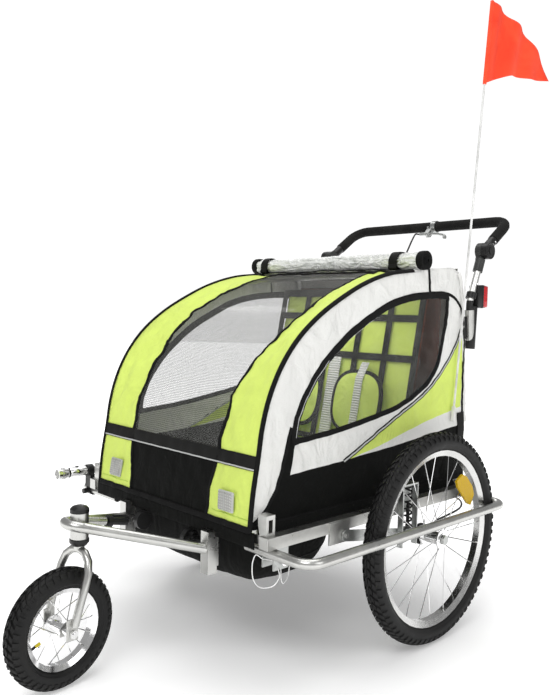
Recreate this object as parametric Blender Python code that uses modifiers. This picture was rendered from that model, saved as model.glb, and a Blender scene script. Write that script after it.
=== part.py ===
"""Child bicycle trailer: frame, sprung spoked wheels, swivel front wheel, push handle and fabric cabin.

Units are metres and Z is up. The front of the trailer is at -Y and its left side is at +X.
The origin is on the ground, under the middle of the trailer's bounding box.
"""

import math

import bmesh
import bpy
from mathutils import Matrix, Vector

X_AXIS = Vector((1, 0, 0))
Y_AXIS = Vector((0, 1, 0))
Z_AXIS = Vector((0, 0, 1))
GAP = 0.0004

# Rear wheels and suspension
AXLE_Y = 0.113
WHEEL_X = 0.385
TYRE_R = 0.2515
AXLE_Z = TYRE_R
TYRE_HALF_WIDTH = 0.0225
RIM_EDGE_R = 0.2095
RIM_INNER_R = 0.1955
HUB_HALF = 0.0275
HUB_FLANGE_X = 0.0235
REAR_SPOKES = 24
PIVOT_Y = -0.160
PIVOT_Z = 0.2985
ARM_X = (0.3405, 0.3445)
SPRING_Y = 0.052
SPRING_X = 0.3525
SPRING_R = 0.0105
SPRING_WIRE_R = 0.0020
SPRING_Z = (0.2792, 0.3792)
SPRING_TURNS = 6
HOUSING_Y = (0.022, 0.082)
HOUSING_Z = (0.236, 0.384)

# Base frame
RAIL_X = (0.3115, 0.3365)
RAIL_Z = (0.3090, 0.3340)
RAIL_Y = (-0.3886, 0.3880)
CROSS_SIDE = 0.020
CROSS_Z = 0.3240
BUMPER_R = 0.0110
BUMPER_X = 0.4225
BUMPER_Z = 0.2955
BUMPER_FRONT_Y = -0.3600
BUMPER_REAR_Y = 0.3780
BUMPER_END_X = 0.2475

# Front arm, swivel fork and front wheel
HEAD_Y = -0.608
HEAD_R = 0.0190
HEAD_Z = (0.3010, 0.3545)
ARM_TUBE_R = 0.0110
ARM_NOSE = 0.0285
POST_X = 0.158
POST_Y = -0.390
POST_SIDE = 0.025
POST_Z = (0.2197, 0.3110)
FRONT_TYRE_R = 0.1238
FRONT_RIM_EDGE_R = 0.0835
FRONT_RIM_INNER_R = 0.0735
FRONT_TYRE_HALF_WIDTH = 0.0220
FRONT_SPOKES = 16
FORK_LEAD = 0.0437
FORK_TURN = math.radians(5.8)
FORK_TUBE_R = 0.0085

# Push handle
HANDLE_X = 0.280
HANDLE_PIVOT = (0.467, 0.960)
HANDLE_TUBE_R = 0.0095
GRIP_R = 0.0152
BAR_Y = 0.605
BAR_Z = 1.057
JOINT_R = 0.0230
POST_TOP_DIR = Vector((0, -0.372, -0.928)).normalized()
POST_BEND_Z = 0.815
POST_FOOT = (0.4190, 0.7000)
CLAMP_X = 0.030
LEVER_PIVOT = Vector((0.0220, 0.5800, 1.0335))
LEVER_TO_BAR = Vector((0, 0.729, 0.685))

# Cabin: its side profile runs from the front foot up and over to the rear, as (y, z)
COVER_PROFILE = (
    (-0.391, 0.334),
    (-0.384, 0.410),
    (-0.372, 0.480),
    (-0.362, 0.545),
    (-0.344, 0.605),
    (-0.313, 0.665),
    (-0.268, 0.720),
    (-0.208, 0.768),
    (-0.131, 0.812),
    (-0.046, 0.850),
    (0.044, 0.876),
    (0.136, 0.888),
)
ROOF_PROFILE = ((0.1405, 0.8885), (0.195, 0.8945), (0.255, 0.9010), (0.309, 0.9040))
SIDE_BACK = ((0.331, 0.8960), (0.343, 0.8700), (0.359, 0.7400), (0.375, 0.6000), (0.386, 0.4720), (0.393, 0.3420))
REAR_BACK = (
    (0.348, 0.9030),
    (0.380, 0.8900),
    (0.400, 0.8620),
    (0.410, 0.8200),
    (0.410, 0.7000),
    (0.407, 0.6000),
    (0.402, 0.5000),
    (0.396, 0.4200),
    (0.390, 0.3420),
)
CLOTH = 0.004
COVER_HALF = 0.2855
PANEL_X = (0.2865, 0.2905)
REAR_PANEL_HALF = 0.2655
HOOP_X = 0.2745
HOOP_R = 0.0095
TUB_HALF = 0.2630
ROLL_Y = 0.161
ROLL_Z = 0.9145
ROLL_R = 0.0225
ROLL_HALF = 0.310

# Flag
POLE_X = 0.2980
POLE_R = 0.0030
FLAG_TIP = (0.7746, 1.4903)

# Flashlight on the right bumper
LAMP_X = -0.358
LAMP_Z = 0.3515
LAMP_Y = (-0.471, -0.367)

STEEL = ("silver_steel", (0.56, 0.56, 0.55), 0.38, 0.85)
CHROME = ("chrome", (0.80, 0.80, 0.80), 0.12, 1.0)
ZINC = ("zinc_plate", (0.50, 0.51, 0.49), 0.45, 0.8)
BLACK_PLASTIC = ("black_plastic", (0.020, 0.021, 0.020), 0.45, 0.0)
FOAM = ("black_foam", (0.015, 0.015, 0.014), 0.80, 0.0)
RUBBER = ("tyre_rubber", (0.018, 0.018, 0.017), 0.75, 0.0)
GREEN = ("green_fabric", (0.58, 0.80, 0.16), 0.75, 0.0)
WHITE = ("white_fabric", (0.76, 0.76, 0.73), 0.75, 0.0)
BLACK_FABRIC = ("black_fabric", (0.014, 0.015, 0.013), 0.85, 0.0)
CLEAR = ("clear_film", (0.78, 0.80, 0.76), 0.15, 0.0)
WIRE = ("coated_wire", (0.80, 0.80, 0.77), 0.35, 0.0)
AMBER = ("amber_reflector", (0.95, 0.60, 0.04), 0.25, 0.0)
RED = ("orange_red_fabric", (0.90, 0.12, 0.05), 0.60, 0.0)
POLE_WHITE = ("white_fibreglass", (0.85, 0.85, 0.84), 0.35, 0.0)


# ---------------------------------------------------------------- scene helpers


def clear_scene():
    for obj in list(bpy.data.objects):
        bpy.data.objects.remove(obj, do_unlink=True)


def new_collection(name, hidden):
    coll = bpy.data.collections.new(name)
    bpy.context.scene.collection.children.link(coll)
    coll.hide_render = hidden
    return coll


def material(spec):
    name, colour, roughness, metallic = spec
    found = bpy.data.materials.get(name)
    if found:
        return found
    made = bpy.data.materials.new(name)
    made.use_nodes = True
    shader = made.node_tree.nodes["Principled BSDF"]
    shader.inputs["Base Color"].default_value = (*colour, 1.0)
    shader.inputs["Roughness"].default_value = roughness
    shader.inputs["Metallic"].default_value = metallic
    made.diffuse_color = (*colour, 1.0)
    return made


def finish_object(obj, spec):
    """Puts a piece in the trailer's collection; a spec of None makes it a hidden helper."""
    for coll in list(obj.users_collection):
        coll.objects.unlink(obj)
    if spec is None:
        HELPERS.objects.link(obj)
        obj.hide_render = True
        obj.display_type = "WIRE"
        return obj
    TRAILER.objects.link(obj)
    obj.data.materials.clear()
    obj.data.materials.append(material(spec))
    return obj


def mesh_object(name, bm, spec, smooth=False):
    mesh = bpy.data.meshes.new(name)
    bm.to_mesh(mesh)
    bm.free()
    if smooth:
        mesh.shade_smooth()
        mesh.set_sharp_from_angle(angle=math.radians(40))
    obj = bpy.data.objects.new(name, mesh)
    return finish_object(obj, spec)


def box(name, low, high, spec=None, bevel=0.0, turn=None):
    """A box between two corners; turn is a matrix applied about the world origin."""
    bm = bmesh.new()
    size = Vector(high) - Vector(low)
    middle = (Vector(high) + Vector(low)) / 2
    bmesh.ops.create_cube(bm, size=1.0, matrix=Matrix.Translation(middle) @ Matrix.Diagonal((*size, 1.0)))
    if turn:
        bmesh.ops.transform(bm, matrix=turn, verts=bm.verts)
    obj = mesh_object(name, bm, spec)
    if bevel:
        mod = obj.modifiers.new("rounded_edges", "BEVEL")
        mod.width = bevel
        mod.segments = 2
    return obj


def rod(name, start, end, radius, spec=None, sides=24, end_radius=None):
    """A straight round bar between two points, or a cone if end_radius is given."""
    start, end = Vector(start), Vector(end)
    along = end - start
    place = Matrix.Translation((start + end) / 2) @ along.to_track_quat("Z", "Y").to_matrix().to_4x4()
    bm = bmesh.new()
    bmesh.ops.create_cone(
        bm,
        cap_ends=True,
        segments=sides,
        radius1=radius,
        radius2=radius if end_radius is None else end_radius,
        depth=along.length,
        matrix=place,
    )
    return mesh_object(name, bm, spec, smooth=sides > 8)


def turned(name, profile, steps, spec, origin=(0, 0, 0), axis=Z_AXIS, ring=False):
    """A turned piece: (radius, height) points from top to bottom; a ring's profile is a closed loop."""
    mesh = bpy.data.meshes.new(name)
    edges = [(i, i + 1) for i in range(len(profile) - 1)]
    if ring:
        edges.append((len(profile) - 1, 0))
    mesh.from_pydata([(r, 0.0, h) for r, h in profile], edges, [])
    obj = bpy.data.objects.new(name, mesh)
    mod = obj.modifiers.new("turned", "SCREW")
    mod.steps = steps
    mod.render_steps = steps
    mod.use_merge_vertices = True
    mod.merge_threshold = 0.00002
    mod.use_smooth_shade = True
    obj.matrix_world = Matrix.Translation(origin) @ Vector(axis).to_track_quat("Z", "Y").to_matrix().to_4x4()
    return finish_object(obj, spec)


def rounded(points, radius, step=math.radians(18)):
    """The polyline with each inner corner replaced by an arc of this radius."""
    points = [Vector(p) for p in points]
    path = [points[0]]
    for before, corner, after in zip(points, points[1:], points[2:]):
        back = (before - corner).normalized()
        ahead = (after - corner).normalized()
        turn = math.pi - back.angle(ahead)
        if turn < math.radians(14):
            path.append(corner)
            continue
        cut = radius * math.tan(turn / 2)
        centre = corner + (back + ahead).normalized() * (radius / math.cos(turn / 2))
        start = corner + back * cut - centre
        normal = start.cross(corner + ahead * cut - centre).normalized()
        count = max(2, round(turn / step))
        path += [centre + Matrix.Rotation(turn * i / count, 3, normal) @ start for i in range(count + 1)]
    path.append(points[-1])
    return path


def smooth_path(points, count):
    """Points evenly spaced in parameter on a Catmull-Rom curve through the given points."""
    points = [Vector(p) for p in points]
    ends = [2 * points[0] - points[1], *points, 2 * points[-1] - points[-2]]
    path = []
    for i in range(count + 1):
        place = i / count * (len(points) - 1)
        k = min(int(place), len(points) - 2)
        t = place - k
        a, b, c, d = ends[k : k + 4]
        path.append(0.5 * (2 * b + (c - a) * t + (2 * a - 5 * b + 4 * c - d) * t**2 + (3 * b - a - 3 * c + d) * t**3))
    return path


def tube(name, path, radius, spec=None, resolution=3):
    """A round tube along a path, as a welded mesh."""
    curve = bpy.data.curves.new(name, "CURVE")
    curve.dimensions = "3D"
    curve.bevel_depth = radius
    curve.bevel_resolution = resolution
    curve.use_fill_caps = True
    spline = curve.splines.new("POLY")
    spline.points.add(len(path) - 1)
    for point, place in zip(spline.points, path):
        point.co = (*place, 1.0)
    guide = bpy.data.objects.new(name + "_guide", curve)
    bpy.context.scene.collection.objects.link(guide)
    bpy.context.view_layer.update()
    graph = bpy.context.evaluated_depsgraph_get()
    mesh = bpy.data.meshes.new_from_object(guide.evaluated_get(graph))
    mesh.name = name
    bpy.data.objects.remove(guide, do_unlink=True)
    bpy.data.curves.remove(curve)
    bm = bmesh.new()
    bm.from_mesh(mesh)
    bmesh.ops.remove_doubles(bm, verts=bm.verts, dist=0.00001)
    bmesh.ops.recalc_face_normals(bm, faces=bm.faces)
    bm.to_mesh(mesh)
    bm.free()
    mesh.shade_smooth()
    mesh.set_sharp_from_angle(angle=math.radians(50))
    return finish_object(bpy.data.objects.new(name, mesh), spec)


def side_outline(name, points, x_low, x_high, spec=None):
    """A flat outline of (y, z) points, extruded along X."""
    curve = bpy.data.curves.new(name, "CURVE")
    curve.dimensions = "2D"
    curve.fill_mode = "BOTH"
    curve.extrude = (x_high - x_low) / 2
    spline = curve.splines.new("POLY")
    spline.points.add(len(points) - 1)
    for point, (y, z) in zip(spline.points, points):
        point.co = (y, z, 0.0, 1.0)
    spline.use_cyclic_u = True
    guide = bpy.data.objects.new(name + "_guide", curve)
    bpy.context.scene.collection.objects.link(guide)
    bpy.context.view_layer.update()
    graph = bpy.context.evaluated_depsgraph_get()
    mesh = bpy.data.meshes.new_from_object(guide.evaluated_get(graph))
    mesh.name = name
    bpy.data.objects.remove(guide, do_unlink=True)
    bpy.data.curves.remove(curve)
    upright = Matrix(((0, 0, 1, (x_low + x_high) / 2), (1, 0, 0, 0), (0, 1, 0, 0), (0, 0, 0, 1)))
    bm = bmesh.new()
    bm.from_mesh(mesh)
    bmesh.ops.remove_doubles(bm, verts=bm.verts, dist=0.00001)
    bmesh.ops.transform(bm, matrix=upright, verts=bm.verts)
    bmesh.ops.recalc_face_normals(bm, faces=bm.faces)
    bm.to_mesh(mesh)
    bm.free()
    return finish_object(bpy.data.objects.new(name, mesh), spec)


def boolean(target, helper, operation):
    mod = target.modifiers.new(operation.lower() + "_" + helper.name, "BOOLEAN")
    mod.operation = operation
    mod.solver = "EXACT"
    mod.object = helper
    return target


def join(target, *helpers):
    for helper in helpers:
        boolean(target, helper, "UNION")
    return target


def cut(target, *helpers):
    for helper in helpers:
        boolean(target, helper, "DIFFERENCE")
    return target


def set_origin(obj, place):
    """Moves a mesh piece's origin to its joint's axis, leaving the shape where it is."""
    shift = Matrix.Translation(-(obj.matrix_world.inverted() @ Vector(place)))
    obj.data.transform(shift)
    obj.matrix_world = obj.matrix_world @ shift.inverted()


def offset_profile(profile, distance):
    """The open (y, z) profile moved sideways; a positive distance moves it outwards, to its left."""
    moved = []
    for i, (y, z) in enumerate(profile):
        before = profile[max(i - 1, 0)]
        after = profile[min(i + 1, len(profile) - 1)]
        dy, dz = after[0] - before[0], after[1] - before[1]
        length = math.hypot(dy, dz)
        moved.append((y - dz / length * distance, z + dy / length * distance))
    return moved


def strip(profile, thickness):
    """A closed outline of this thickness, lying inside an open profile."""
    return list(profile) + offset_profile(profile, -thickness)[::-1]


# ---------------------------------------------------------------- wheels


def tyre(name, spec, outer_r, half_width, edge_r, bead_r, steps, origin, axis):
    wall_r = (outer_r + edge_r) / 2 + 0.002
    half_profile = (
        (outer_r, half_width * 0.28),
        (outer_r - 0.0085, half_width * 0.86),
        (wall_r, half_width),
        (edge_r + 0.0020, half_width * 0.72),
        (edge_r + 0.0010, 0.0108),
        (bead_r, 0.0088),
    )
    profile = half_profile[::-1] + tuple((r, -h) for r, h in half_profile)
    return turned(name, profile, steps, spec, origin, axis, ring=True)


def rim(name, spec, edge_r, inner_r, steps, origin, axis):
    well_r = edge_r - 0.0065
    profile = (
        (edge_r, 0.0142),
        (inner_r, 0.0085),
        (inner_r, -0.0085),
        (edge_r, -0.0142),
        (edge_r, -0.0115),
        (well_r, -0.0095),
        (well_r, 0.0095),
        (edge_r, 0.0115),
    )
    return turned(name, profile[::-1], steps, spec, origin, axis, ring=True)


def spoked_hub(name, spec, count, flange_x, flange_r, half, barrel_r, bore_r, rim_r, origin, axis):
    """A hub whose spokes lean alternately forwards and back, from both flanges to the rim."""
    profile = (
        (barrel_r, half),
        (barrel_r, flange_x + 0.0022),
        (flange_r, flange_x + 0.0014),
        (flange_r, flange_x - 0.0014),
        (barrel_r, flange_x - 0.0022),
        (barrel_r, -flange_x + 0.0022),
        (flange_r, -flange_x + 0.0014),
        (flange_r, -flange_x - 0.0014),
        (barrel_r, -flange_x - 0.0022),
        (barrel_r, -half),
        (bore_r, -half),
        (bore_r, half),
    )
    hub = turned(name, profile, 16, spec, origin, axis, ring=True)
    place = hub.matrix_world
    lean = 2 * math.pi / count * 1.5
    for i in range(count):
        side = 1 if i % 2 else -1
        way = 1 if (i // 2) % 2 else -1
        angle = 2 * math.pi * i / count
        root_r = flange_r - 0.0035
        root = Vector((root_r * math.cos(angle + way * lean), root_r * math.sin(angle + way * lean), 0))
        root.z = side * (flange_x + way * 0.0008)
        tip = Vector(((rim_r - 2 * GAP) * math.cos(angle), (rim_r - 2 * GAP) * math.sin(angle), side * 0.0015))
        spoke = rod(f"{name}_spoke_{i:02d}", place @ root, place @ tip, 0.0012, sides=4)
        join(hub, spoke)
    return hub


def rear_wheel(side, word):
    origin = (side * WHEEL_X, AXLE_Y, AXLE_Z)
    axis = side * X_AXIS
    tyre(f"rear_tyre_{word}", RUBBER, TYRE_R, TYRE_HALF_WIDTH, RIM_EDGE_R, RIM_EDGE_R - 0.005, 40, origin, axis)
    rim(f"rear_rim_{word}", STEEL, RIM_EDGE_R, RIM_INNER_R, 48, origin, axis)
    spoked_hub(
        f"rear_hub_{word}", CHROME, REAR_SPOKES, HUB_FLANGE_X, 0.0230, HUB_HALF, 0.0150, 0.0075, RIM_INNER_R, origin, axis
    )


def wheel_reflector():
    """A flat amber reflector clipped between the spokes of the left wheel."""
    outline = [(-0.048, -0.012), (-0.032, -0.019), (0.032, -0.019), (0.048, -0.012)]
    outline += [(0.040, 0.016), (0.020, 0.024), (-0.020, 0.024), (-0.040, 0.016)]
    reflector = side_outline("wheel_reflector", outline, -0.003, 0.003, AMBER)
    lean = Matrix.Rotation(math.radians(-46), 4, "X")
    out = Matrix.Translation((0, 0, 0.147))
    reflector.matrix_world = Matrix.Translation((WHEEL_X + 0.0165, AXLE_Y, AXLE_Z)) @ lean @ out


# ---------------------------------------------------------------- suspension


def trailing_arm(side, word):
    """A flat bar on the rail's pivot bolt, with the spring seat and the stub axle of the rear wheel."""
    middle = Vector((0, (PIVOT_Y + AXLE_Y) / 2, (PIVOT_Z + AXLE_Z) / 2))
    along = Vector((0, AXLE_Y - PIVOT_Y, AXLE_Z - PIVOT_Z))
    lean = math.atan2(along.z, along.y)
    half = along.length / 2
    points = []
    for end in (1, -1):
        for i in range(7):
            a = -math.pi / 2 + math.pi * i / 6
            points.append((end * (half + 0.0125 * math.cos(a)), end * 0.0125 * math.sin(a)))
    turn = Matrix.Rotation(lean, 2)
    outline = [tuple(turn @ Vector(p) + Vector((middle.y, middle.z))) for p in points]
    x_low, x_high = sorted((side * ARM_X[0], side * ARM_X[1]))
    arm = side_outline(f"trailing_arm_{word}", outline, x_low, x_high, ZINC)
    seat_x = sorted((side * (ARM_X[0] + 0.001), side * 0.3612))
    seat_z = SPRING_Z[0] - GAP
    seat = box(
        f"spring_seat_{word}", (seat_x[0], SPRING_Y - 0.016, seat_z - 0.009), (seat_x[1], SPRING_Y + 0.016, seat_z)
    )
    reach = (side * (ARM_X[0] + 0.001), AXLE_Y, AXLE_Z)
    stub = rod(f"stub_axle_{word}", reach, (side * (WHEEL_X + 0.0345), AXLE_Y, AXLE_Z), 0.0070, sides=20)
    nut_start = (side * (WHEEL_X + HUB_HALF + GAP), AXLE_Y, AXLE_Z)
    nut = rod(f"axle_nut_{word}", nut_start, (side * (WHEEL_X + 0.0345), AXLE_Y, AXLE_Z), 0.0115, sides=6)
    join(arm, seat, stub, nut)
    bore = rod(f"pivot_bore_{word}", (side * 0.33, PIVOT_Y, PIVOT_Z), (side * 0.36, PIVOT_Y, PIVOT_Z), 0.0054, sides=16)
    cut(arm, bore)
    set_origin(arm, (side * 0.342, PIVOT_Y, PIVOT_Z))


def coil_spring(side, word):
    turns = SPRING_TURNS
    low, high = SPRING_Z[0] + SPRING_WIRE_R, SPRING_Z[1] - SPRING_WIRE_R
    steps = turns * 8
    r = SPRING_R - SPRING_WIRE_R
    path = []
    for i in range(steps + 1):
        a = 2 * math.pi * i / 8
        path.append((side * SPRING_X + r * math.cos(a), SPRING_Y + r * math.sin(a), low + (high - low) * i / steps))
    tube(f"coil_spring_{word}", path, SPRING_WIRE_R, BLACK_PLASTIC, resolution=0)


def spring_housing(side, word):
    """An upright portal bolted to the outer face of the rail, with the coil spring under its top."""
    def x_pair(a, b):
        return sorted((side * a, side * b))

    y0, y1 = HOUSING_Y
    z0, z1 = HOUSING_Z
    top_x = x_pair(RAIL_X[1] + GAP, 0.3600)
    leg_x = x_pair(0.3455, 0.3600)
    back_x = x_pair(RAIL_X[1] + GAP, RAIL_X[1] + GAP + 0.003)
    housing = box(f"spring_housing_{word}", (top_x[0], y0, z1 - 0.0045), (top_x[1], y1, z1), ZINC)
    pieces = [
        box(f"housing_back_{word}", (back_x[0], y0, 0.3120), (back_x[1], y1, z1 - 0.001)),
        box(f"housing_front_leg_{word}", (leg_x[0], y0, z0), (leg_x[1], y0 + 0.004, z1 - 0.001)),
        box(f"housing_rear_leg_{word}", (leg_x[0], y1 - 0.004, z0), (leg_x[1], y1, z1 - 0.001)),
    ]
    join(housing, *pieces)


def brake_drum():
    profile = ((0.0080, 0.0060), (0.0240, 0.0060), (0.0255, 0.0040), (0.0255, -0.0060), (0.0080, -0.0060))
    turned("brake_drum", profile, 24, BLACK_PLASTIC, (0.3506, AXLE_Y, AXLE_Z), X_AXIS, ring=True)


# ---------------------------------------------------------------- frame


def base_frame():
    """Two square rails and three cross tubes, with the brackets that are welded to them."""
    frame = box("base_frame", (RAIL_X[0], RAIL_Y[0], RAIL_Z[0]), (RAIL_X[1], RAIL_Y[1], RAIL_Z[1]), STEEL)
    pieces = [box("right_rail", (-RAIL_X[1], RAIL_Y[0], RAIL_Z[0]), (-RAIL_X[0], RAIL_Y[1], RAIL_Z[1]))]
    half = CROSS_SIDE / 2
    for name, y in (("front", -0.372), ("rear", 0.3740)):
        low = (-RAIL_X[0] - 0.002, y - half, CROSS_Z - half)
        pieces.append(box(f"{name}_cross", low, (RAIL_X[0] + 0.002, y + half, CROSS_Z + half)))
    for side, word in ((1, "left"), (-1, "right")):
        def span(a, b, side=side):
            return sorted((side * a, side * b))

        x0, x1 = span(RAIL_X[1] - 0.001, RAIL_X[1] + 0.0030)
        pieces.append(box(f"pivot_bracket_{word}", (x0, -0.2090, 0.2840), (x1, -0.1440, 0.3320)))
        bolt_start = (side * (RAIL_X[1] - 0.001), PIVOT_Y, PIVOT_Z)
        pieces.append(rod(f"pivot_bolt_{word}", bolt_start, (side * 0.3480, PIVOT_Y, PIVOT_Z), 0.0050, sides=16))
        x0, x1 = span(0.3005, 0.3250)
        pieces.append(box(f"fold_bracket_{word}", (x0, -0.3820, 0.3300), (x1, -0.3580, 0.3755)))
        x0, x1 = span(0.2650, 0.3125)
        pieces.append(box(f"front_foot_{word}", (x0, -0.3620, 0.3290), (x1, -0.3360, 0.3330)))
        pieces.append(box(f"rear_foot_{word}", (x0, 0.3400, 0.3290), (x1, 0.3680, 0.3330)))
        x0, x1 = span(POST_X - 0.0125, POST_X + 0.0125)
        pieces.append(box(f"arm_socket_{word}", (x0, -0.3772, 0.2350), (x1, -0.3732, 0.3180)))
    join(frame, *pieces)
    slots = []
    for side, word in ((1, "left"), (-1, "right")):
        x0, x1 = sorted((side * 0.2900, side * 0.3400))
        slots.append(box(f"fold_slot_{word}", (x0, -0.3755, 0.3400), (x1, -0.3645, 0.3660)))
    cut(frame, *slots)


def hoop_path(side):
    """The centre line of a side hoop, lying inside the cabin's edge."""
    x = side * HOOP_X
    front = offset_profile(COVER_PROFILE, -0.017)
    path = [(x, -0.349, 0.3340 + GAP), (x, -0.3500, 0.4000)]
    path += [(x, y, z) for y, z in front[2:]]
    path += [(x, 0.250, 0.8830), (x, 0.3180, 0.8850), (x, 0.3340, 0.7200), (x, 0.3540, 0.5000)]
    path += [(x, 0.3545, 0.3340 + GAP)]
    return rounded(path, 0.035)


def side_hoop(side, word):
    """A bent side hoop with the welded socket that holds the handle's post."""
    hoop = tube(f"side_hoop_{word}", hoop_path(side), HOOP_R, STEEL, resolution=2)
    x = side * HOOP_X
    plate = box(f"post_gusset_{word}", (x - 0.002, 0.3260, 0.7200), (x + 0.002, 0.4120, 0.7750))
    low, high = post_point(side, 0.6920), post_point(side, 0.7960)
    socket = rod(f"post_socket_{word}", low, high, 0.0130)
    bore = rod(f"socket_bore_{word}", post_point(side, 0.6980), post_point(side, 0.8100), 0.0100)
    cut(join(hoop, plate, socket), bore)


def bumper(side, word):
    """The side bar that keeps things away from the wheel, from the front corner to the rear end."""
    x = side * BUMPER_X
    points = (
        (side * BUMPER_END_X, BUMPER_FRONT_Y, BUMPER_Z),
        (x, BUMPER_FRONT_Y, BUMPER_Z),
        (x, BUMPER_REAR_Y, BUMPER_Z),
        (side * (RAIL_X[1] - 0.0180), BUMPER_REAR_Y, BUMPER_Z),
    )
    tube(f"bumper_{word}", rounded(points, 0.036), BUMPER_R, STEEL, resolution=4)


def top_crossbar():
    x = HOOP_X - HOOP_R - GAP
    rod("top_crossbar", (-x, 0.2850, 0.8840), (x, 0.2850, 0.8840), 0.0090, STEEL)


def hitch():
    """The tow arm's clevis under the front left corner, its pin and the pin's two wire lanyards."""
    y0, y1 = -0.3465, -0.3050
    z0, z1 = 0.2535, RAIL_Z[0] - GAP
    clevis = box("hitch_bracket", (0.2760, y0, z1 - 0.004), (0.3250, y1, z1), ZINC)
    inner = box("hitch_inner_plate", (0.2760, y0, z0), (0.2800, y1, z1 - 0.001))
    outer = box("hitch_outer_plate", (0.3080, y0, z0), (0.3120, y1, z1 - 0.001))
    join(clevis, inner, outer)
    pin_y, pin_z = -0.3220, 0.2700
    cut(clevis, rod("hitch_bore", (0.260, pin_y, pin_z), (0.330, pin_y, pin_z), 0.0046, sides=16))
    pin = rod("hitch_pin", (0.2705, pin_y, pin_z), (0.3200, pin_y, pin_z), 0.0042, CHROME, sides=16)
    join(pin, rod("pin_head", (0.3126, pin_y, pin_z), (0.3200, pin_y, pin_z), 0.0080, sides=20))
    front_loop = (
        (0.3140, -0.3400, 0.2640),
        (0.3200, -0.3400, 0.2560),
        (0.3220, -0.3400, 0.2430),
        (0.3170, -0.3500, 0.2275),
        (0.3060, -0.3636, 0.2225),
        (0.3020, -0.3800, 0.2290),
        (0.3000, -0.3910, 0.2450),
        (0.3000, -0.3949, 0.2652),
        (0.2990, -0.3920, 0.2830),
        (0.2980, -0.3840, 0.2925),
        (0.2970, -0.3745, 0.2880),
        (0.2960, -0.3640, 0.2800),
        (0.2950, -0.3560, 0.2770),
        (0.3090, y0 - 0.0018, 0.2765),
    )
    tube("front_lanyard", smooth_path(front_loop, 34), 0.0011, WIRE, resolution=2)
    rear_loop = (
        (0.3140, -0.3280, 0.2565),
        (0.3165, -0.3300, 0.2480),
        (0.3165, -0.3290, 0.2360),
        (0.3145, -0.3213, 0.2238),
        (0.3120, -0.3080, 0.2300),
        (0.3095, -0.3000, 0.2433),
        (0.3090, -0.2985, 0.2580),
        (0.3095, -0.3005, 0.2680),
        (0.3100, y1 + 0.0018, 0.2720),
    )
    tube("rear_lanyard", smooth_path(rear_loop, 24), 0.0011, WIRE, resolution=2)


# ---------------------------------------------------------------- front arm and swivel wheel


def front_arm():
    """The V of tube between its two upright posts and the swivel's head tube."""
    points = [
        (POST_X, POST_Y - 0.006, 0.2725),
        (ARM_NOSE, HEAD_Y - 0.0080, 0.3300),
        (ARM_NOSE, HEAD_Y - ARM_NOSE, 0.3350),
        (-ARM_NOSE, HEAD_Y - ARM_NOSE, 0.3350),
        (-ARM_NOSE, HEAD_Y - 0.0080, 0.3300),
        (-POST_X, POST_Y - 0.006, 0.2725),
    ]
    arm = tube("front_arm", rounded(points, 0.026), ARM_TUBE_R, STEEL)
    pieces = []
    half = POST_SIDE / 2
    for side, word in ((1, "left"), (-1, "right")):
        x = side * POST_X
        pieces.append(
            box(f"arm_post_{word}", (x - half, POST_Y - half, POST_Z[0]), (x + half, POST_Y + half - GAP, POST_Z[1]))
        )
    pieces.append(rod("head_tube", (0, HEAD_Y, HEAD_Z[0]), (0, HEAD_Y, HEAD_Z[1]), HEAD_R, sides=32))
    lock_way = lock_direction()
    start = lock_place(0.010)
    pieces.append(rod("lock_barrel", start, start + lock_way * 0.0520, 0.0088, sides=20))
    join(arm, *pieces)
    cut(
        arm,
        rod("steerer_bore", (0, HEAD_Y, HEAD_Z[0] - 0.010), (0, HEAD_Y, HEAD_Z[1] + 0.010), 0.0116, sides=24),
        rod("lock_bore", lock_place(0.0140), lock_place(0.080), 0.0046, sides=16),
    )


def lock_direction():
    return Vector((0, 0.98, -0.20)).normalized()


def lock_place(distance):
    """A point on the swivel lock's axis, which leaves the head tube towards the rear."""
    return Vector((0, HEAD_Y, 0.3375)) + lock_direction() * distance


def swivel_lock_pull():
    """The spring pin's knurled ring and sleeve, pulled back to let the wheel swivel."""
    pull = rod("swivel_lock_pull", lock_place(0.0160), lock_place(0.1200), 0.0041, BLACK_PLASTIC, sides=16)
    ring = rod("lock_ring", lock_place(0.0660), lock_place(0.0760), 0.0135, sides=20)
    sleeve = rod("lock_sleeve", lock_place(0.0750), lock_place(0.1160), 0.0082, sides=20)
    join(pull, ring, sleeve)


def arm_knob(side, word):
    """A star-shaped screw knob that clamps the arm's post to the frame."""
    x0 = side * (POST_X - POST_SIDE / 2 - GAP)
    z = 0.2790
    knob = rod(f"arm_knob_{word}", (x0, POST_Y, z), (side * 0.0840, POST_Y, z), 0.0040, BLACK_PLASTIC, sides=12)
    head = rod(f"knob_disc_{word}", (side * 0.0960, POST_Y, z), (side * 0.0830, POST_Y, z), 0.0215, sides=24)
    lobes = []
    for i in range(4):
        a = math.pi / 2 * i
        y, up = POST_Y + 0.0100 * math.cos(a), z + 0.0100 * math.sin(a)
        lobes.append(rod(f"knob_lobe_{word}_{i}", (side * 0.1080, y, up), (side * 0.0950, y, up), 0.0070, sides=10))
    hub = rod(f"knob_hub_{word}", (side * 0.1120, POST_Y, z), (side * 0.0950, POST_Y, z), 0.0105, sides=16)
    join(knob, head, hub, *lobes)
    set_origin(knob, (0, POST_Y, z))


def fork_point(across, forward, height):
    """A point of the fork, which is turned a little on its head axis."""
    place = Matrix.Rotation(FORK_TURN, 3, "Z") @ Vector((across, -forward, 0))
    return Vector((place.x, HEAD_Y + place.y, height))


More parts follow.
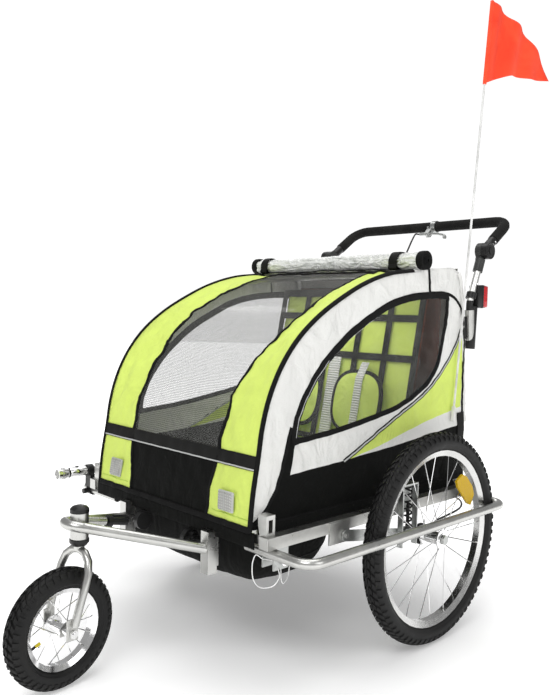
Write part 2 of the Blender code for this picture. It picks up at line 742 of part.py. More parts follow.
def fork():
    half_path = [
        (0.0460, FORK_LEAD, FRONT_TYRE_R - 0.004),
        (0.0465, 0.0400, 0.1440),
        (0.0470, 0.0310, 0.1760),
        (0.0475, 0.0200, 0.2100),
        (0.0465, 0.0110, 0.2390),
        (0.0385, 0.0050, 0.2605),
        (0.0215, 0.0010, 0.2735),
        (0.0, 0.0, 0.2780),
    ]
    path = [fork_point(*p) for p in half_path]
    path += [fork_point(-p[0], p[1], p[2]) for p in half_path[-2::-1]]
    body = tube("fork", path, FORK_TUBE_R, STEEL, resolution=4)
    pieces = [rod("steerer", (0, HEAD_Y, 0.2760), (0, HEAD_Y, HEAD_Z[1] - 0.002), 0.0110, sides=24)]
    for side, word in ((1, "left"), (-1, "right")):
        turn = Matrix.Translation((0, HEAD_Y, 0)) @ Matrix.Rotation(FORK_TURN, 4, "Z")
        x0, x1 = sorted((side * 0.0395, side * 0.0435))
        low = (x0, -FORK_LEAD - 0.0125, FRONT_TYRE_R - 0.0140)
        high = (x1, -FORK_LEAD + 0.0125, FRONT_TYRE_R + 0.0300)
        pieces.append(box(f"dropout_{word}", low, high, turn=turn))
    join(body, *pieces)
    trims = []
    for side, word in ((1, "left"), (-1, "right")):
        turn = Matrix.Translation((0, HEAD_Y, 0)) @ Matrix.Rotation(FORK_TURN, 4, "Z")
        x0, x1 = sorted((side * 0.0438, side * 0.0600))
        low = (x0, -FORK_LEAD - 0.0200, FRONT_TYRE_R - 0.0200)
        high = (x1, -FORK_LEAD + 0.0200, FRONT_TYRE_R + 0.0160)
        trims.append(box(f"dropout_flat_{word}", low, high, turn=turn))
    start = fork_point(0.070, FORK_LEAD, FRONT_TYRE_R)
    end = fork_point(-0.070, FORK_LEAD, FRONT_TYRE_R)
    cut(body, *trims, rod("front_axle_bore", start, end, 0.0053, sides=16))
    set_origin(body, (0, HEAD_Y, 0))
    cover = ((0.0205, 0.2995), (0.0205, 0.2930), (0.0150, 0.2860), (0.0114, 0.2860), (0.0114, 0.2995))
    turned("fork_cover", cover, 28, BLACK_PLASTIC, (0, HEAD_Y, 0), ring=True)


def head_cap():
    z = HEAD_Z[1] + GAP
    profile = ((0.0, z + 0.0148), (0.0090, z + 0.0143), (0.0155, z + 0.0120), (0.0196, z + 0.0075), (0.0200, z), (0.0, z))
    turned("head_cap", profile, 32, BLACK_PLASTIC, (0, HEAD_Y, 0))


def front_wheel():
    origin = fork_point(0, FORK_LEAD, FRONT_TYRE_R)
    axis = Matrix.Rotation(FORK_TURN, 3, "Z") @ X_AXIS
    half = FRONT_TYRE_HALF_WIDTH
    tyre("front_tyre", RUBBER, FRONT_TYRE_R, half, FRONT_RIM_EDGE_R, FRONT_RIM_EDGE_R - 0.005, 32, origin, axis)
    rim("front_rim", CHROME, FRONT_RIM_EDGE_R, FRONT_RIM_INNER_R, 32, origin, axis)
    spoked_hub(
        "front_hub", CHROME, FRONT_SPOKES, 0.0250, 0.0200, 0.0370, 0.0105, 0.0056, FRONT_RIM_INNER_R, origin, axis
    )
    start = fork_point(0.0520, FORK_LEAD, FRONT_TYRE_R)
    end = fork_point(-0.0520, FORK_LEAD, FRONT_TYRE_R)
    axle = rod("front_axle", start, end, 0.0050, CHROME, sides=16)
    for side, word in ((1, "left"), (-1, "right")):
        inner = fork_point(side * 0.0442, FORK_LEAD, FRONT_TYRE_R)
        outer = fork_point(side * 0.0500, FORK_LEAD, FRONT_TYRE_R)
        join(axle, rod(f"front_nut_{word}", inner, outer, 0.0090, sides=6))
    set_origin(axle, origin)


# ---------------------------------------------------------------- push handle


def handle_direction():
    y, z = HANDLE_PIVOT
    return Vector((0, BAR_Y - y, BAR_Z - z)).normalized()


def post_point(side, z):
    """A point on the centre line of a handle's post, which is bent once below its joint."""
    slope = POST_TOP_DIR.y / POST_TOP_DIR.z
    bend_y = HANDLE_PIVOT[0] + slope * (POST_BEND_Z - HANDLE_PIVOT[1])
    if z < POST_BEND_Z:
        slope = (bend_y - POST_FOOT[0]) / (POST_BEND_Z - POST_FOOT[1])
    return Vector((side * HANDLE_X, bend_y + slope * (z - POST_BEND_Z), z))


def handlebar_path(start):
    """The U of the handlebar, from this distance along one arm to the same on the other."""
    y, z = HANDLE_PIVOT
    foot = Vector((0, y, z)) + handle_direction() * start
    points = (
        (HANDLE_X + 0.003, foot.y, foot.z),
        (HANDLE_X + 0.003, BAR_Y, BAR_Z),
        (-HANDLE_X - 0.003, BAR_Y, BAR_Z),
        (-HANDLE_X - 0.003, foot.y, foot.z),
    )
    return rounded(points, 0.045)


def handlebar():
    """The steel U with the upper halves of its two angle joints."""
    bar = tube("handlebar", handlebar_path(0.0300), HANDLE_TUBE_R, BLACK_PLASTIC)
    y, z = HANDLE_PIVOT
    way = handle_direction()
    tilt = math.atan2(way.z, way.y)
    pieces, recesses = [], []
    for side, word in ((1, "left"), (-1, "right")):
        x0, x1 = side * (HANDLE_X + 0.0078), side * (HANDLE_X + 0.0250)
        pieces.append(rod(f"joint_disc_{word}", (x0, y, z), (x1, y, z), JOINT_R))
        neck_x = sorted((side * (HANDLE_X + 0.0080), side * (HANDLE_X + 0.0140)))
        turn = Matrix.Translation((0, y, z)) @ Matrix.Rotation(tilt, 4, "X")
        pieces.append(box(f"joint_neck_{word}", (neck_x[0], 0.012, -0.0105), (neck_x[1], 0.0340, 0.0105), turn=turn))
        sleeve_x = side * (HANDLE_X + 0.003)
        start = Vector((sleeve_x, y, z)) + way * 0.0250
        pieces.append(rod(f"upper_sleeve_{word}", start, start + way * 0.0330, 0.0134, sides=24))
        recesses.append(rod(f"button_recess_{word}", (x1 - side * 0.007, y, z), (x1 + side * 0.01, y, z), 0.0105))
    cut(join(bar, *pieces), *recesses)
    set_origin(bar, (0, y, z))


def handle_grip():
    """The foam sleeve on the handlebar."""
    path = handlebar_path(0.0590)
    grip = tube("handle_grip", path, GRIP_R, FOAM, resolution=4)
    inner = handlebar_path(0.0500)
    cut(grip, tube("grip_bore", inner, HANDLE_TUBE_R + 0.0008))
    set_origin(grip, (0, *HANDLE_PIVOT))


def handle_joint(side, word):
    """The lower half of an angle joint, on top of its post, and the button in the upper half's disc."""
    y, z = HANDLE_PIVOT
    centre = Vector((side * HANDLE_X, y, z))
    x0, x1 = side * (HANDLE_X - 0.0110), side * (HANDLE_X + 0.0070)
    joint = rod(f"handle_joint_{word}", (x0, y, z), (x1, y, z), JOINT_R, BLACK_PLASTIC)
    tilt = math.atan2(POST_TOP_DIR.z, POST_TOP_DIR.y)
    turn = Matrix.Translation((0, y, z)) @ Matrix.Rotation(tilt, 4, "X")
    neck_x = sorted((side * (HANDLE_X - 0.0100), side * (HANDLE_X + 0.0068)))
    neck = box(f"lower_neck_{word}", (neck_x[0], 0.0100, -0.0105), (neck_x[1], 0.0300, 0.0105), turn=turn)
    sleeve = rod(f"lower_sleeve_{word}", centre + POST_TOP_DIR * 0.0250, centre + POST_TOP_DIR * 0.0620, 0.0134, sides=24)
    bore = rod(f"sleeve_bore_{word}", centre + POST_TOP_DIR * 0.0330, centre + POST_TOP_DIR * 0.0800, 0.0100)
    cut(join(joint, neck, sleeve), bore)
    button_x = side * (HANDLE_X + 0.0250)
    low, high = (button_x - side * 0.0040, y, z), (button_x + side * 0.0030, y, z)
    rod(f"joint_button_{word}", low, high, 0.0100, BLACK_PLASTIC)


def handle_post(side, word):
    """The tube from the hoop's socket up to the angle joint."""
    points = (post_point(side, POST_FOOT[1]), post_point(side, POST_BEND_Z), post_point(side, 0.9270))
    tube(f"handle_post_{word}", rounded(points, 0.060), HANDLE_TUBE_R, STEEL)


def brake():
    """The brake lever on the bar, with its clamp and the cable to the left wheel's drum."""
    ring = rod("brake_clamp", (CLAMP_X - 0.008, BAR_Y, BAR_Z), (CLAMP_X + 0.008, BAR_Y, BAR_Z), GRIP_R + 0.0032, ZINC)
    away = -LEVER_TO_BAR
    base = Vector((CLAMP_X - 0.006, BAR_Y, BAR_Z)) + away * 0.0150
    neck = rod("lever_bracket", base, LEVER_PIVOT + LEVER_TO_BAR * 0.0040, 0.0055, sides=12)
    tail = LEVER_PIVOT - X_AXIS * 0.0070
    cable_stop = rod("cable_stop", tail - X_AXIS * 0.0240, tail + X_AXIS * 0.0040, 0.0048, sides=12)
    bolt_foot = LEVER_PIVOT + Vector((-0.0060, 0.0050, 0.0020))
    bolt = rod("clamp_bolt", bolt_foot, bolt_foot + Z_AXIS * 0.0220, 0.0030, sides=10)
    bore = rod("clamp_bore", (0, BAR_Y, BAR_Z), (0.08, BAR_Y, BAR_Z), GRIP_R + 0.0006)
    axle = X_AXIS.cross(LEVER_TO_BAR)
    upright = Matrix.Translation(LEVER_PIVOT) @ Matrix((X_AXIS, axle, away)).transposed().to_4x4()
    join(ring, neck, cable_stop, bolt, box("lever_cheeks", (-0.0075, -0.0092, -0.0160), (0.0075, 0.0092, 0.0070), turn=upright))
    slot = rod("lever_slot", LEVER_PIVOT - axle * 0.0066, LEVER_PIVOT + axle * 0.0066, 0.0092, sides=20)
    cut(ring, slot, bore)
    join(ring, rod("lever_bolt", LEVER_PIVOT - axle * 0.0072, LEVER_PIVOT + axle * 0.0072, 0.0026, sides=10))
    set_origin(ring, (0, *HANDLE_PIVOT))
    lever_points = (
        LEVER_PIVOT,
        LEVER_PIVOT + X_AXIS * 0.0160 + away * 0.0010,
        LEVER_PIVOT + X_AXIS * 0.0340 + away * 0.0035,
        LEVER_PIVOT + X_AXIS * 0.0500 + away * 0.0080,
        LEVER_PIVOT + X_AXIS * 0.0640 + away * 0.0130,
        LEVER_PIVOT + X_AXIS * 0.0700 + away * 0.0230,
    )
    blade = tube("brake_lever", smooth_path(lever_points, 12), 0.0040, ZINC)
    hub = rod("lever_hub", LEVER_PIVOT - axle * 0.0060, LEVER_PIVOT + axle * 0.0060, 0.0078, sides=16)
    ball = rod("lever_tip", lever_points[-1] - X_AXIS * 0.003, lever_points[-1] + X_AXIS * 0.004, 0.0055, sides=12)
    hole = rod("lever_bore", LEVER_PIVOT - axle * 0.0100, LEVER_PIVOT + axle * 0.0100, 0.0030, sides=12)
    cut(join(blade, hub, ball), hole)
    set_origin(blade, LEVER_PIVOT)
    start = LEVER_PIVOT - X_AXIS * 0.0320
    route = (
        start,
        start + Vector((-0.0060, -0.0030, 0.0006)),
        (-0.0120, 0.5600, 1.0320),
        (-0.0034, 0.5300, 1.0094),
        (0.0030, 0.5000, 0.9760),
        (0.0120, 0.4650, 0.9450),
        (0.0180, 0.4350, 0.9000),
        (0.0200, 0.4190, 0.8400),
        (0.0180, 0.4180, 0.7600),
        (0.0160, 0.4180, 0.6500),
        (0.0200, 0.4130, 0.5000),
        (0.0500, 0.4060, 0.4000),
        (0.1100, 0.4000, 0.3300),
        (0.2000, 0.3960, 0.2920),
        (0.2800, 0.3850, 0.2800),
        (0.3300, 0.3200, 0.2780),
        (0.3500, 0.2200, 0.2760),
        (0.3510, 0.1800, 0.2725),
        (0.3506, AXLE_Y + 0.0335, 0.2600),
    )
    tube("brake_cable", smooth_path(route, 48), 0.0024, BLACK_PLASTIC, resolution=1)


def tail_light():
    """The rear lamp on the left post, with its clamp ring."""
    z = 0.8350
    middle = post_point(1, z)
    ring = rod("tail_light", post_point(1, z - 0.008), post_point(1, z + 0.008), 0.0140, BLACK_PLASTIC)
    low = (HANDLE_X - 0.016, middle.y + 0.0115, 0.8030)
    body = box("tail_light_body", low, (HANDLE_X + 0.016, 0.4700, 0.8650), bevel=0.004)
    bore = rod("tail_light_bore", post_point(1, z - 0.019), post_point(1, z + 0.040), 0.0101)
    cut(join(ring, body), bore)


# ---------------------------------------------------------------- flashlight and flag


def flashlight():
    y0, y1 = LAMP_Y
    length = y1 - y0
    profile = (
        (0.0, length),
        (0.0115, length),
        (0.0125, length - 0.0015),
        (0.0125, 0.0360),
        (0.0120, 0.0350),
        (0.0120, 0.0310),
        (0.0142, 0.0270),
        (0.0142, 0.0),
        (0.0122, 0.0),
        (0.0085, 0.0080),
        (0.0, 0.0100),
    )
    lamp = turned("flashlight", profile, 20, CHROME, (LAMP_X, y0, LAMP_Z), Y_AXIS)
    button_y = y0 + 0.0560
    top = LAMP_Z + 0.0125
    recess = rod("switch_recess", (LAMP_X, button_y, top - 0.0035), (LAMP_X, button_y, top + 0.008), 0.0050, sides=16)
    cut(lamp, recess)
    rod("flashlight_switch", (LAMP_X, button_y, top - 0.0015), (LAMP_X, button_y, top + 0.0016), 0.0045, BLACK_PLASTIC, 16)
    x = LAMP_X - 0.0140
    y, z = BUMPER_FRONT_Y, BUMPER_Z
    foot = rod("flashlight_clamp", (x - 0.008, y, z), (x + 0.008, y, z), 0.0150, BLACK_PLASTIC, sides=20)
    neck = box("clamp_neck", (x - 0.007, y - 0.0180, z + 0.0100), (LAMP_X + 0.006, y - 0.0020, LAMP_Z - 0.0100))
    cradle = rod("clamp_cradle", (LAMP_X, y - 0.0280, LAMP_Z), (LAMP_X, y - 0.0110, LAMP_Z), 0.0152, sides=20)
    screw = rod("clamp_screw", (x, y - 0.0120, z - 0.002), (x, y - 0.0280, z - 0.002), 0.0070, sides=12)
    join(foot, neck, cradle, screw)
    cut(
        foot,
        rod("clamp_bumper_bore", (x - 0.02, y, z), (x + 0.02, y, z), BUMPER_R + 0.0008),
        rod("clamp_lamp_bore", (LAMP_X, y - 0.05, LAMP_Z), (LAMP_X, y + 0.02, LAMP_Z), 0.0130),
    )


def pole_point(z):
    """A point on the flag pole's centre line, which leans back a little."""
    return Vector((POLE_X, 0.3170 + 0.1087 * (z - 0.500), z))


def flag():
    heights = [0.500 + 1.128 * i / 6 for i in range(7)]
    tube("flag_pole", [pole_point(z) for z in heights], POLE_R, POLE_WHITE, resolution=2)
    high, low = pole_point(1.6210), pole_point(1.4040)
    edge = POLE_R + 0.0006
    outline = [(high.y + edge, high.z), (FLAG_TIP[0], FLAG_TIP[1] + 0.0025), (FLAG_TIP[0], FLAG_TIP[1] - 0.0025)]
    outline += [(low.y + edge, low.z)]
    side_outline("flag", outline, POLE_X - 0.0010, POLE_X + 0.0010, RED)


# ---------------------------------------------------------------- cabin


def front_cover():
    half = COVER_HALF
    cover = side_outline("front_cover", strip(COVER_PROFILE, CLOTH), -half, half, GREEN)
    set_origin(cover, (0, *COVER_PROFILE[-1]))


def rear_panel():
    half = REAR_PANEL_HALF
    side_outline("rear_panel", strip(ROOF_PROFILE + REAR_BACK, CLOTH), -half, half, WHITE)


def side_panel(side, word):
    outline = [(y, max(z, 0.3400)) for y, z in COVER_PROFILE + ROOF_PROFILE + SIDE_BACK]
    x_low, x_high = sorted((side * PANEL_X[0], side * PANEL_X[1]))
    side_outline(f"side_panel_{word}", outline, x_low, x_high, WHITE)


def tub():
    """The black floor and footwell between the rails, open at the top."""
    half = TUB_HALF
    wall = CLOTH
    body = box("tub", (-half, -0.3470, 0.1900), (half, -0.1200, 0.3400), BLACK_FABRIC)
    rear = box("tub_rear", (-half, -0.1240, 0.3120), (half, 0.3380, 0.3400))
    well = box("tub_well", (-half + wall, -0.3470 + wall, 0.1900 + wall), (half - wall, -0.1200 - wall, 0.3600))
    hollow = box("tub_hollow", (-half + wall, -0.1300, 0.3120 + wall), (half - wall, 0.3380 - wall, 0.3600))
    cut(join(body, rear), well, hollow)


def seat_and_backrest():
    box("seat", (-0.2550, -0.0450, 0.3560), (0.2550, 0.1500, 0.4060), GREEN, bevel=0.012)
    outline = ((0.1530, 0.4060), (0.1790, 0.4060), (0.2660, 0.8420), (0.2400, 0.8420))
    side_outline("backrest", outline[::-1], -0.2600, 0.2600, GREEN)


def rain_roll():
    half = ROLL_HALF
    profile = ((0.0, half), (ROLL_R - 0.003, half), (ROLL_R, half - 0.003), (ROLL_R, half - 0.020), (ROLL_R - 0.003, half - 0.026))
    profile += tuple((r, -h) for r, h in profile[::-1])
    turned("rain_roll", profile, 20, CLEAR, (0, ROLL_Y, ROLL_Z), X_AXIS)


clear_scene()
TRAILER = new_collection("child_bicycle_trailer", hidden=False)
HELPERS = new_collection("cutters_and_joined_shapes", hidden=True)

base_frame()
hitch()
top_crossbar()
brake_drum()
wheel_reflector()
for SIDE, WORD in ((1, "left"), (-1, "right")):
    side_hoop(SIDE, WORD)
    bumper(SIDE, WORD)
    trailing_arm(SIDE, WORD)
    coil_spring(SIDE, WORD)
    spring_housing(SIDE, WORD)
    rear_wheel(SIDE, WORD)
    arm_knob(SIDE, WORD)
    handle_joint(SIDE, WORD)
    handle_post(SIDE, WORD)
    side_panel(SIDE, WORD)
front_arm()
swivel_lock_pull()
head_cap()
fork()
front_wheel()
handlebar()
handle_grip()
brake()
tail_light()
flashlight()
flag()
tub()
seat_and_backrest()
front_cover()
rear_panel()
rain_roll()
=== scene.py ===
"""The looks of a two-seat child bicycle trailer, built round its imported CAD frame.

Metres, +Z up. The trailer faces -Y, its rear is at +Y, and +X is its left side.
"""

import math

import bmesh
import bpy
import numpy as np
from mathutils import Matrix, Vector, noise
from mathutils.geometry import delaunay_2d_cdt


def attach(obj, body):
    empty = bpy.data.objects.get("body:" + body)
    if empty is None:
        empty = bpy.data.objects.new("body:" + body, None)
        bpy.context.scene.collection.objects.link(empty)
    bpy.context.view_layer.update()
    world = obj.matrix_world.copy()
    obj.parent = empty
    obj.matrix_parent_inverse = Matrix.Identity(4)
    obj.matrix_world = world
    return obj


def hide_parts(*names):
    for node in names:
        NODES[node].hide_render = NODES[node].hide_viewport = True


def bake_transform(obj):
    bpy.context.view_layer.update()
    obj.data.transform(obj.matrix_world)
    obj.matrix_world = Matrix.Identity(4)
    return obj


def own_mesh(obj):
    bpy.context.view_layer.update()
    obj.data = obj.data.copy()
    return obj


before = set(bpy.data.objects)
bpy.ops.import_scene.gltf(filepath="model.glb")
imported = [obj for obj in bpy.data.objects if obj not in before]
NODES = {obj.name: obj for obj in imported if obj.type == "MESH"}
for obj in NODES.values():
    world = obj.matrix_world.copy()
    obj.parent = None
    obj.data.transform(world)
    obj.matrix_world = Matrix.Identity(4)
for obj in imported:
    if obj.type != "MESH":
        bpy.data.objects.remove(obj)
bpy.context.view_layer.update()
X, Y, Z = Vector((1, 0, 0)), Vector((0, 1, 0)), Vector((0, 0, 1))
SIDES = ((1, "left"), (-1, "right"))


def link(name, data, body=None, slot=None):
    """A new object, which rides on a CAD body where one is given. Its slot argument is not used."""
    obj = bpy.data.objects.new(name, data)
    bpy.context.scene.collection.objects.link(obj)
    if body:
        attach(obj, body)
    return obj


# ---------------------------------------------------------------- camera


def make_camera():
    azimuth, pitch, roll = (math.radians(a) for a in (45.85, 2.8, 1.355))
    level = Vector((math.cos(azimuth), math.sin(azimuth), 0))
    away = Vector((-math.sin(azimuth), math.cos(azimuth), 0))
    look = away * math.cos(pitch) - Z * math.sin(pitch)
    upward = level.cross(look)
    right = level * math.cos(roll) + upward * math.sin(roll)
    up = -level * math.sin(roll) + upward * math.cos(roll)
    data = bpy.data.cameras.new("camera")
    data.sensor_width = 36.0
    data.lens = 38.29
    data.clip_start, data.clip_end = 0.05, 60.0
    camera = link("camera", data)
    turn = Matrix((right, up, -look)).transposed().to_4x4()
    camera.matrix_world = Matrix.Translation((1.3631, -1.3778, 0.7801)) @ turn
    bpy.context.scene.camera = camera


make_camera()

# ---------------------------------------------------------------- materials


class Graph:
    """A short way to write a material's nodes. Every texture is placed in the object's own metres."""

    def __init__(self, name):
        self.material = bpy.data.materials.new(name)
        self.material.use_nodes = True
        self.tree = self.material.node_tree
        self.shader = self.tree.nodes["Principled BSDF"]
        self.place = self.new("ShaderNodeTexCoord").outputs["Object"]

    def new(self, kind, **settings):
        node = self.tree.nodes.new(kind)
        for key, value in settings.items():
            setattr(node, key, value)
        return node

    def put(self, value, socket):
        if isinstance(value, bpy.types.NodeSocket):
            self.tree.links.new(value, socket)
        else:
            socket.default_value = value

    def mapped(self, scale=(1, 1, 1), turn=(0, 0, 0)):
        node = self.new("ShaderNodeMapping")
        self.put(self.place, node.inputs["Vector"])
        node.inputs["Scale"].default_value = scale
        node.inputs["Rotation"].default_value = [math.radians(a) for a in turn]
        return node.outputs["Vector"]

    def noise(self, scale, detail=3.0, rough=0.55, twist=0.0, stretch=(1, 1, 1)):
        node = self.new("ShaderNodeTexNoise")
        self.put(self.mapped(stretch), node.inputs["Vector"])
        for key, value in (("Scale", scale), ("Detail", detail), ("Roughness", rough), ("Distortion", twist)):
            node.inputs[key].default_value = value
        return node.outputs["Fac"]

    def varied(self, share, *colours):
        """Two colours, mixed by how high the noise stands between 0.3 and 0.7."""
        return self.mix(self.spread(share, 0.3, 0.7), *colours)

    def wave(self, scale, direction="X", turn=(0, 0, 0), twist=0.0):
        node = self.new("ShaderNodeTexWave", bands_direction=direction)
        self.put(self.mapped(turn=turn), node.inputs["Vector"])
        node.inputs["Scale"].default_value = scale
        node.inputs["Distortion"].default_value = twist
        return node.outputs["Fac"]

    def maths(self, operation, a, b=0.0):
        node = self.new("ShaderNodeMath", operation=operation)
        self.put(a, node.inputs[0])
        self.put(b, node.inputs[1])
        return node.outputs[0]

    def spread(self, value, low, high, to_low=0.0, to_high=1.0):
        node = self.new("ShaderNodeMapRange")
        for socket, item in zip(node.inputs, (value, low, high, to_low, to_high)):
            self.put(item, socket)
        return node.outputs[0]

    def mix(self, share, a, b):
        node = self.new("ShaderNodeMix", data_type="RGBA")
        self.put(share, node.inputs[0])
        for value, socket in ((a, node.inputs[6]), (b, node.inputs[7])):
            self.put(value if isinstance(value, bpy.types.NodeSocket) else (*value, 1.0), socket)
        return node.outputs[2]

    def bump(self, height, depth, strength=1.0, normal=None):
        node = self.new("ShaderNodeBump")
        node.inputs["Distance"].default_value = depth
        node.inputs["Strength"].default_value = strength
        self.put(height, node.inputs["Height"])
        if normal is not None:
            self.put(normal, node.inputs["Normal"])
        return node.outputs["Normal"]

    def finish(self, **inputs):
        for key, value in inputs.items():
            socket = self.shader.inputs[key.replace("_", " ")]
            if isinstance(value, tuple) and len(value) == 3 and socket.type == "RGBA":
                value = (*value, 1.0)
            self.put(value, socket)
        return self.material


WAVE = 0.314  # a wave texture's scale times its period in metres


def shade(colour, factor):
    return tuple(min(1.0, c * factor) for c in colour)


def fabric(name, colour, thread=0.0011, tint=0.1, crease=0.0012, rough=0.85, sheen=0.25, gloss=0.35):
    """Woven cloth: two crossing sets of threads, painted shade in the gaps between them, soft creases and a
    slight change of tone.
    """
    g = Graph(name)
    warp = g.wave(WAVE / thread, "X", turn=(0, 0, 45))
    weft = g.wave(WAVE / thread, "Z", turn=(45, 0, 0))
    weave = g.maths("MULTIPLY", warp, weft)
    broad = g.noise(9.0, 4.0, 0.6, 0.6)
    fine = g.noise(420.0, 2.0)
    base = g.varied(broad, shade(colour, 1 - tint), shade(colour, 1 + tint * 0.6))
    # Painted shade: the gaps between the threads are darkened.
    gap_shaded = g.mix(g.maths("MULTIPLY", g.maths("SUBTRACT", 1.0, weave), 0.28), base, shade(colour, 0.55))
    coloured = g.mix(g.maths("MULTIPLY", fine, 0.18), gap_shaded, shade(colour, 1.25))
    folds = g.noise(14.0, 2.0, 0.45, 1.6, stretch=(1.0, 1.0, 0.55))
    crumple = g.noise(46.0, 3.0, 0.5, 1.2)
    normal = g.bump(folds, crease * 6, 0.6)
    normal = g.bump(crumple, crease, 0.6, normal)
    normal = g.bump(weave, 0.00025, 0.6, normal)
    return g.finish(
        Base_Color=coloured, Roughness=g.spread(broad, 0.2, 0.8, rough - 0.08, rough + 0.08), Normal=normal,
        Sheen_Weight=sheen, Specular_IOR_Level=gloss,
    )


def metal(name, colour, rough, wear, brush=0.0):
    """Bare or plated metal with a faint grain, handling marks and dulled patches."""
    g = Graph(name)
    broad = g.noise(14.0, 5.0, 0.65, 0.4)
    grain = g.noise(900.0, 2.0, 0.5, stretch=(1.0, 0.06, 1.0))
    marks = g.noise(160.0, 6.0, 0.7)
    base = g.mix(g.spread(broad, 0.35, 0.65), shade(colour, 0.9), shade(colour, 1.05))
    base = g.mix(g.spread(marks, 0.6, 0.78, 0.0, wear), base, shade(colour, 0.55))
    dull = g.maths("ADD", broad, g.maths("MULTIPLY", marks, 0.5))
    roughness = g.spread(dull, 0.45, 1.05, rough * 0.75, rough * 1.35)
    normal = g.bump(grain, 0.00015 + brush, 0.35)
    normal = g.bump(marks, 0.0002, 0.3, normal)
    return g.finish(Base_Color=base, Metallic=1.0, Roughness=roughness, Normal=normal)


def plastic(name, colour, rough=0.42, grain=420.0, depth=0.00018, wear=0.5):
    """Moulded plastic with a fine spark-eroded grain and paler scuffs."""
    g = Graph(name)
    pits = g.noise(grain, 3.0, 0.6)
    broad = g.noise(22.0, 4.0, 0.6, 0.5)
    scuffs = g.noise(95.0, 6.0, 0.75, stretch=(1.0, 0.4, 1.0))
    base = g.varied(broad, shade(colour, 0.8), shade(colour, 1.3))
    base = g.mix(g.spread(scuffs, 0.62, 0.82, 0.0, wear * 0.12), base, (0.35, 0.35, 0.34))
    return g.finish(
        Base_Color=base, Roughness=g.spread(scuffs, 0.3, 0.8, rough - 0.08, rough + 0.14),
        Normal=g.bump(pits, depth, 0.5), Specular_IOR_Level=0.35,
    )


def rubber(name):
    """Tyre rubber, slightly dusty, with fine moulding lines round its wall."""
    g = Graph(name)
    dust = g.noise(30.0, 5.0, 0.65, 0.5)
    fine = g.noise(520.0, 3.0)
    base = g.mix(g.spread(dust, 0.45, 0.8, 0.0, 0.3), (0.009, 0.009, 0.009), (0.04, 0.039, 0.037))
    return g.finish(
        Base_Color=base, Roughness=g.spread(dust, 0.3, 0.8, 0.5, 0.72), Normal=g.bump(fine, 0.00025, 0.5),
        Specular_IOR_Level=0.25,
    )


def foam(name):
    g = Graph(name)
    cells = g.noise(750.0, 3.0, 0.7)
    broad = g.noise(28.0, 3.0)
    base = g.varied(broad, (0.006, 0.006, 0.006), (0.014, 0.014, 0.013))
    return g.finish(Base_Color=base, Roughness=0.9, Normal=g.bump(cells, 0.0006, 0.7), Specular_IOR_Level=0.2)


def window_film(name):
    """Clear soft window film, with faint waves, dust and a painted reflection that makes it more opaque
    towards grazing angles.
    """
    g = Graph(name)
    waves = g.noise(7.0, 3.0, 0.5, 1.4, stretch=(1.0, 1.0, 0.5))
    dust = g.noise(120.0, 5.0, 0.7)
    rim = g.new("ShaderNodeLayerWeight")
    rim.inputs["Blend"].default_value = 0.25
    # Painted reflection: the film's grey grows more opaque towards grazing angles.
    painted_grazing_reflection = g.maths("MULTIPLY", rim.outputs["Facing"], 0.1)
    clear = g.maths("ADD", painted_grazing_reflection, g.spread(dust, 0.4, 0.8, 0.025, 0.055))
    base = g.mix(g.spread(waves, 0.35, 0.65), (0.26, 0.27, 0.25), (0.48, 0.49, 0.47))
    return g.finish(
        Base_Color=base, Roughness=0.06, Normal=g.bump(waves, 0.01, 0.5), Alpha=clear, Specular_IOR_Level=1.0
    )


def mesh_cloth(name):
    """See-through window net: a diamond lattice of threads over open holes."""
    g = Graph(name)
    one = g.wave(WAVE / 0.0042, "X", turn=(0, 0, 40))
    two = g.wave(WAVE / 0.0042, "Z", turn=(40, 0, 0))
    lattice = g.maths("MULTIPLY", one, two)
    broad = g.noise(8.0, 3.0, 0.5, 0.8)
    base = g.varied(broad, (0.075, 0.076, 0.072), (0.125, 0.126, 0.12))
    cover = g.spread(lattice, 0.1, 0.45, 0.38, 0.13)
    return g.finish(Base_Color=base, Roughness=0.75, Alpha=cover, Normal=g.bump(lattice, 0.0006, 0.6))


def crinkled_film(name):
    """Clear rain cover rolled up in many layers: milky, glossy and full of sharp creases."""
    g = Graph(name)
    creases = g.noise(34.0, 6.0, 0.62, 2.2, stretch=(0.28, 1.0, 1.0))
    sharp = g.noise(90.0, 5.0, 0.7, 1.6, stretch=(0.35, 1.0, 1.0))
    # The milky white is the film's own; its spread from lighter on the raised creases to darker in the
    # hollows between them is painted light and shade.
    base = g.mix(g.spread(creases, 0.34, 0.54), (0.6, 0.62, 0.58), (0.93, 0.94, 0.91))
    normal = g.bump(sharp, 0.005, 0.8, g.bump(creases, 0.012, 0.8))
    return g.finish(Base_Color=base, Roughness=0.12, Normal=normal, Coat_Weight=0.5, Coat_Roughness=0.08)


def lens_plastic(name, colour, cell=0.0042, rough=0.18, coat=0.1):
    """A reflector or lamp lens, moulded in small prisms under a clear face."""
    g = Graph(name)
    rows = g.wave(WAVE / cell, "X", turn=(0, 0, 45))
    columns = g.wave(WAVE / cell, "Z", turn=(45, 0, 0))
    prisms = g.maths("MULTIPLY", rows, columns)
    blotch = g.noise(40.0, 3.0)
    # Painted light and shade: each prism is lighter where it stands high and darker in the grooves between
    # prisms.
    base = g.mix(prisms, shade(colour, 0.7), shade(colour, 1.18))
    base = g.mix(g.spread(blotch, 0.4, 0.7, 0.0, 0.25), base, shade(colour, 0.8))
    return g.finish(
        Base_Color=base, Roughness=rough, Normal=g.bump(prisms, 0.001, 0.7), Coat_Weight=coat,
        Specular_IOR_Level=0.15,
    )


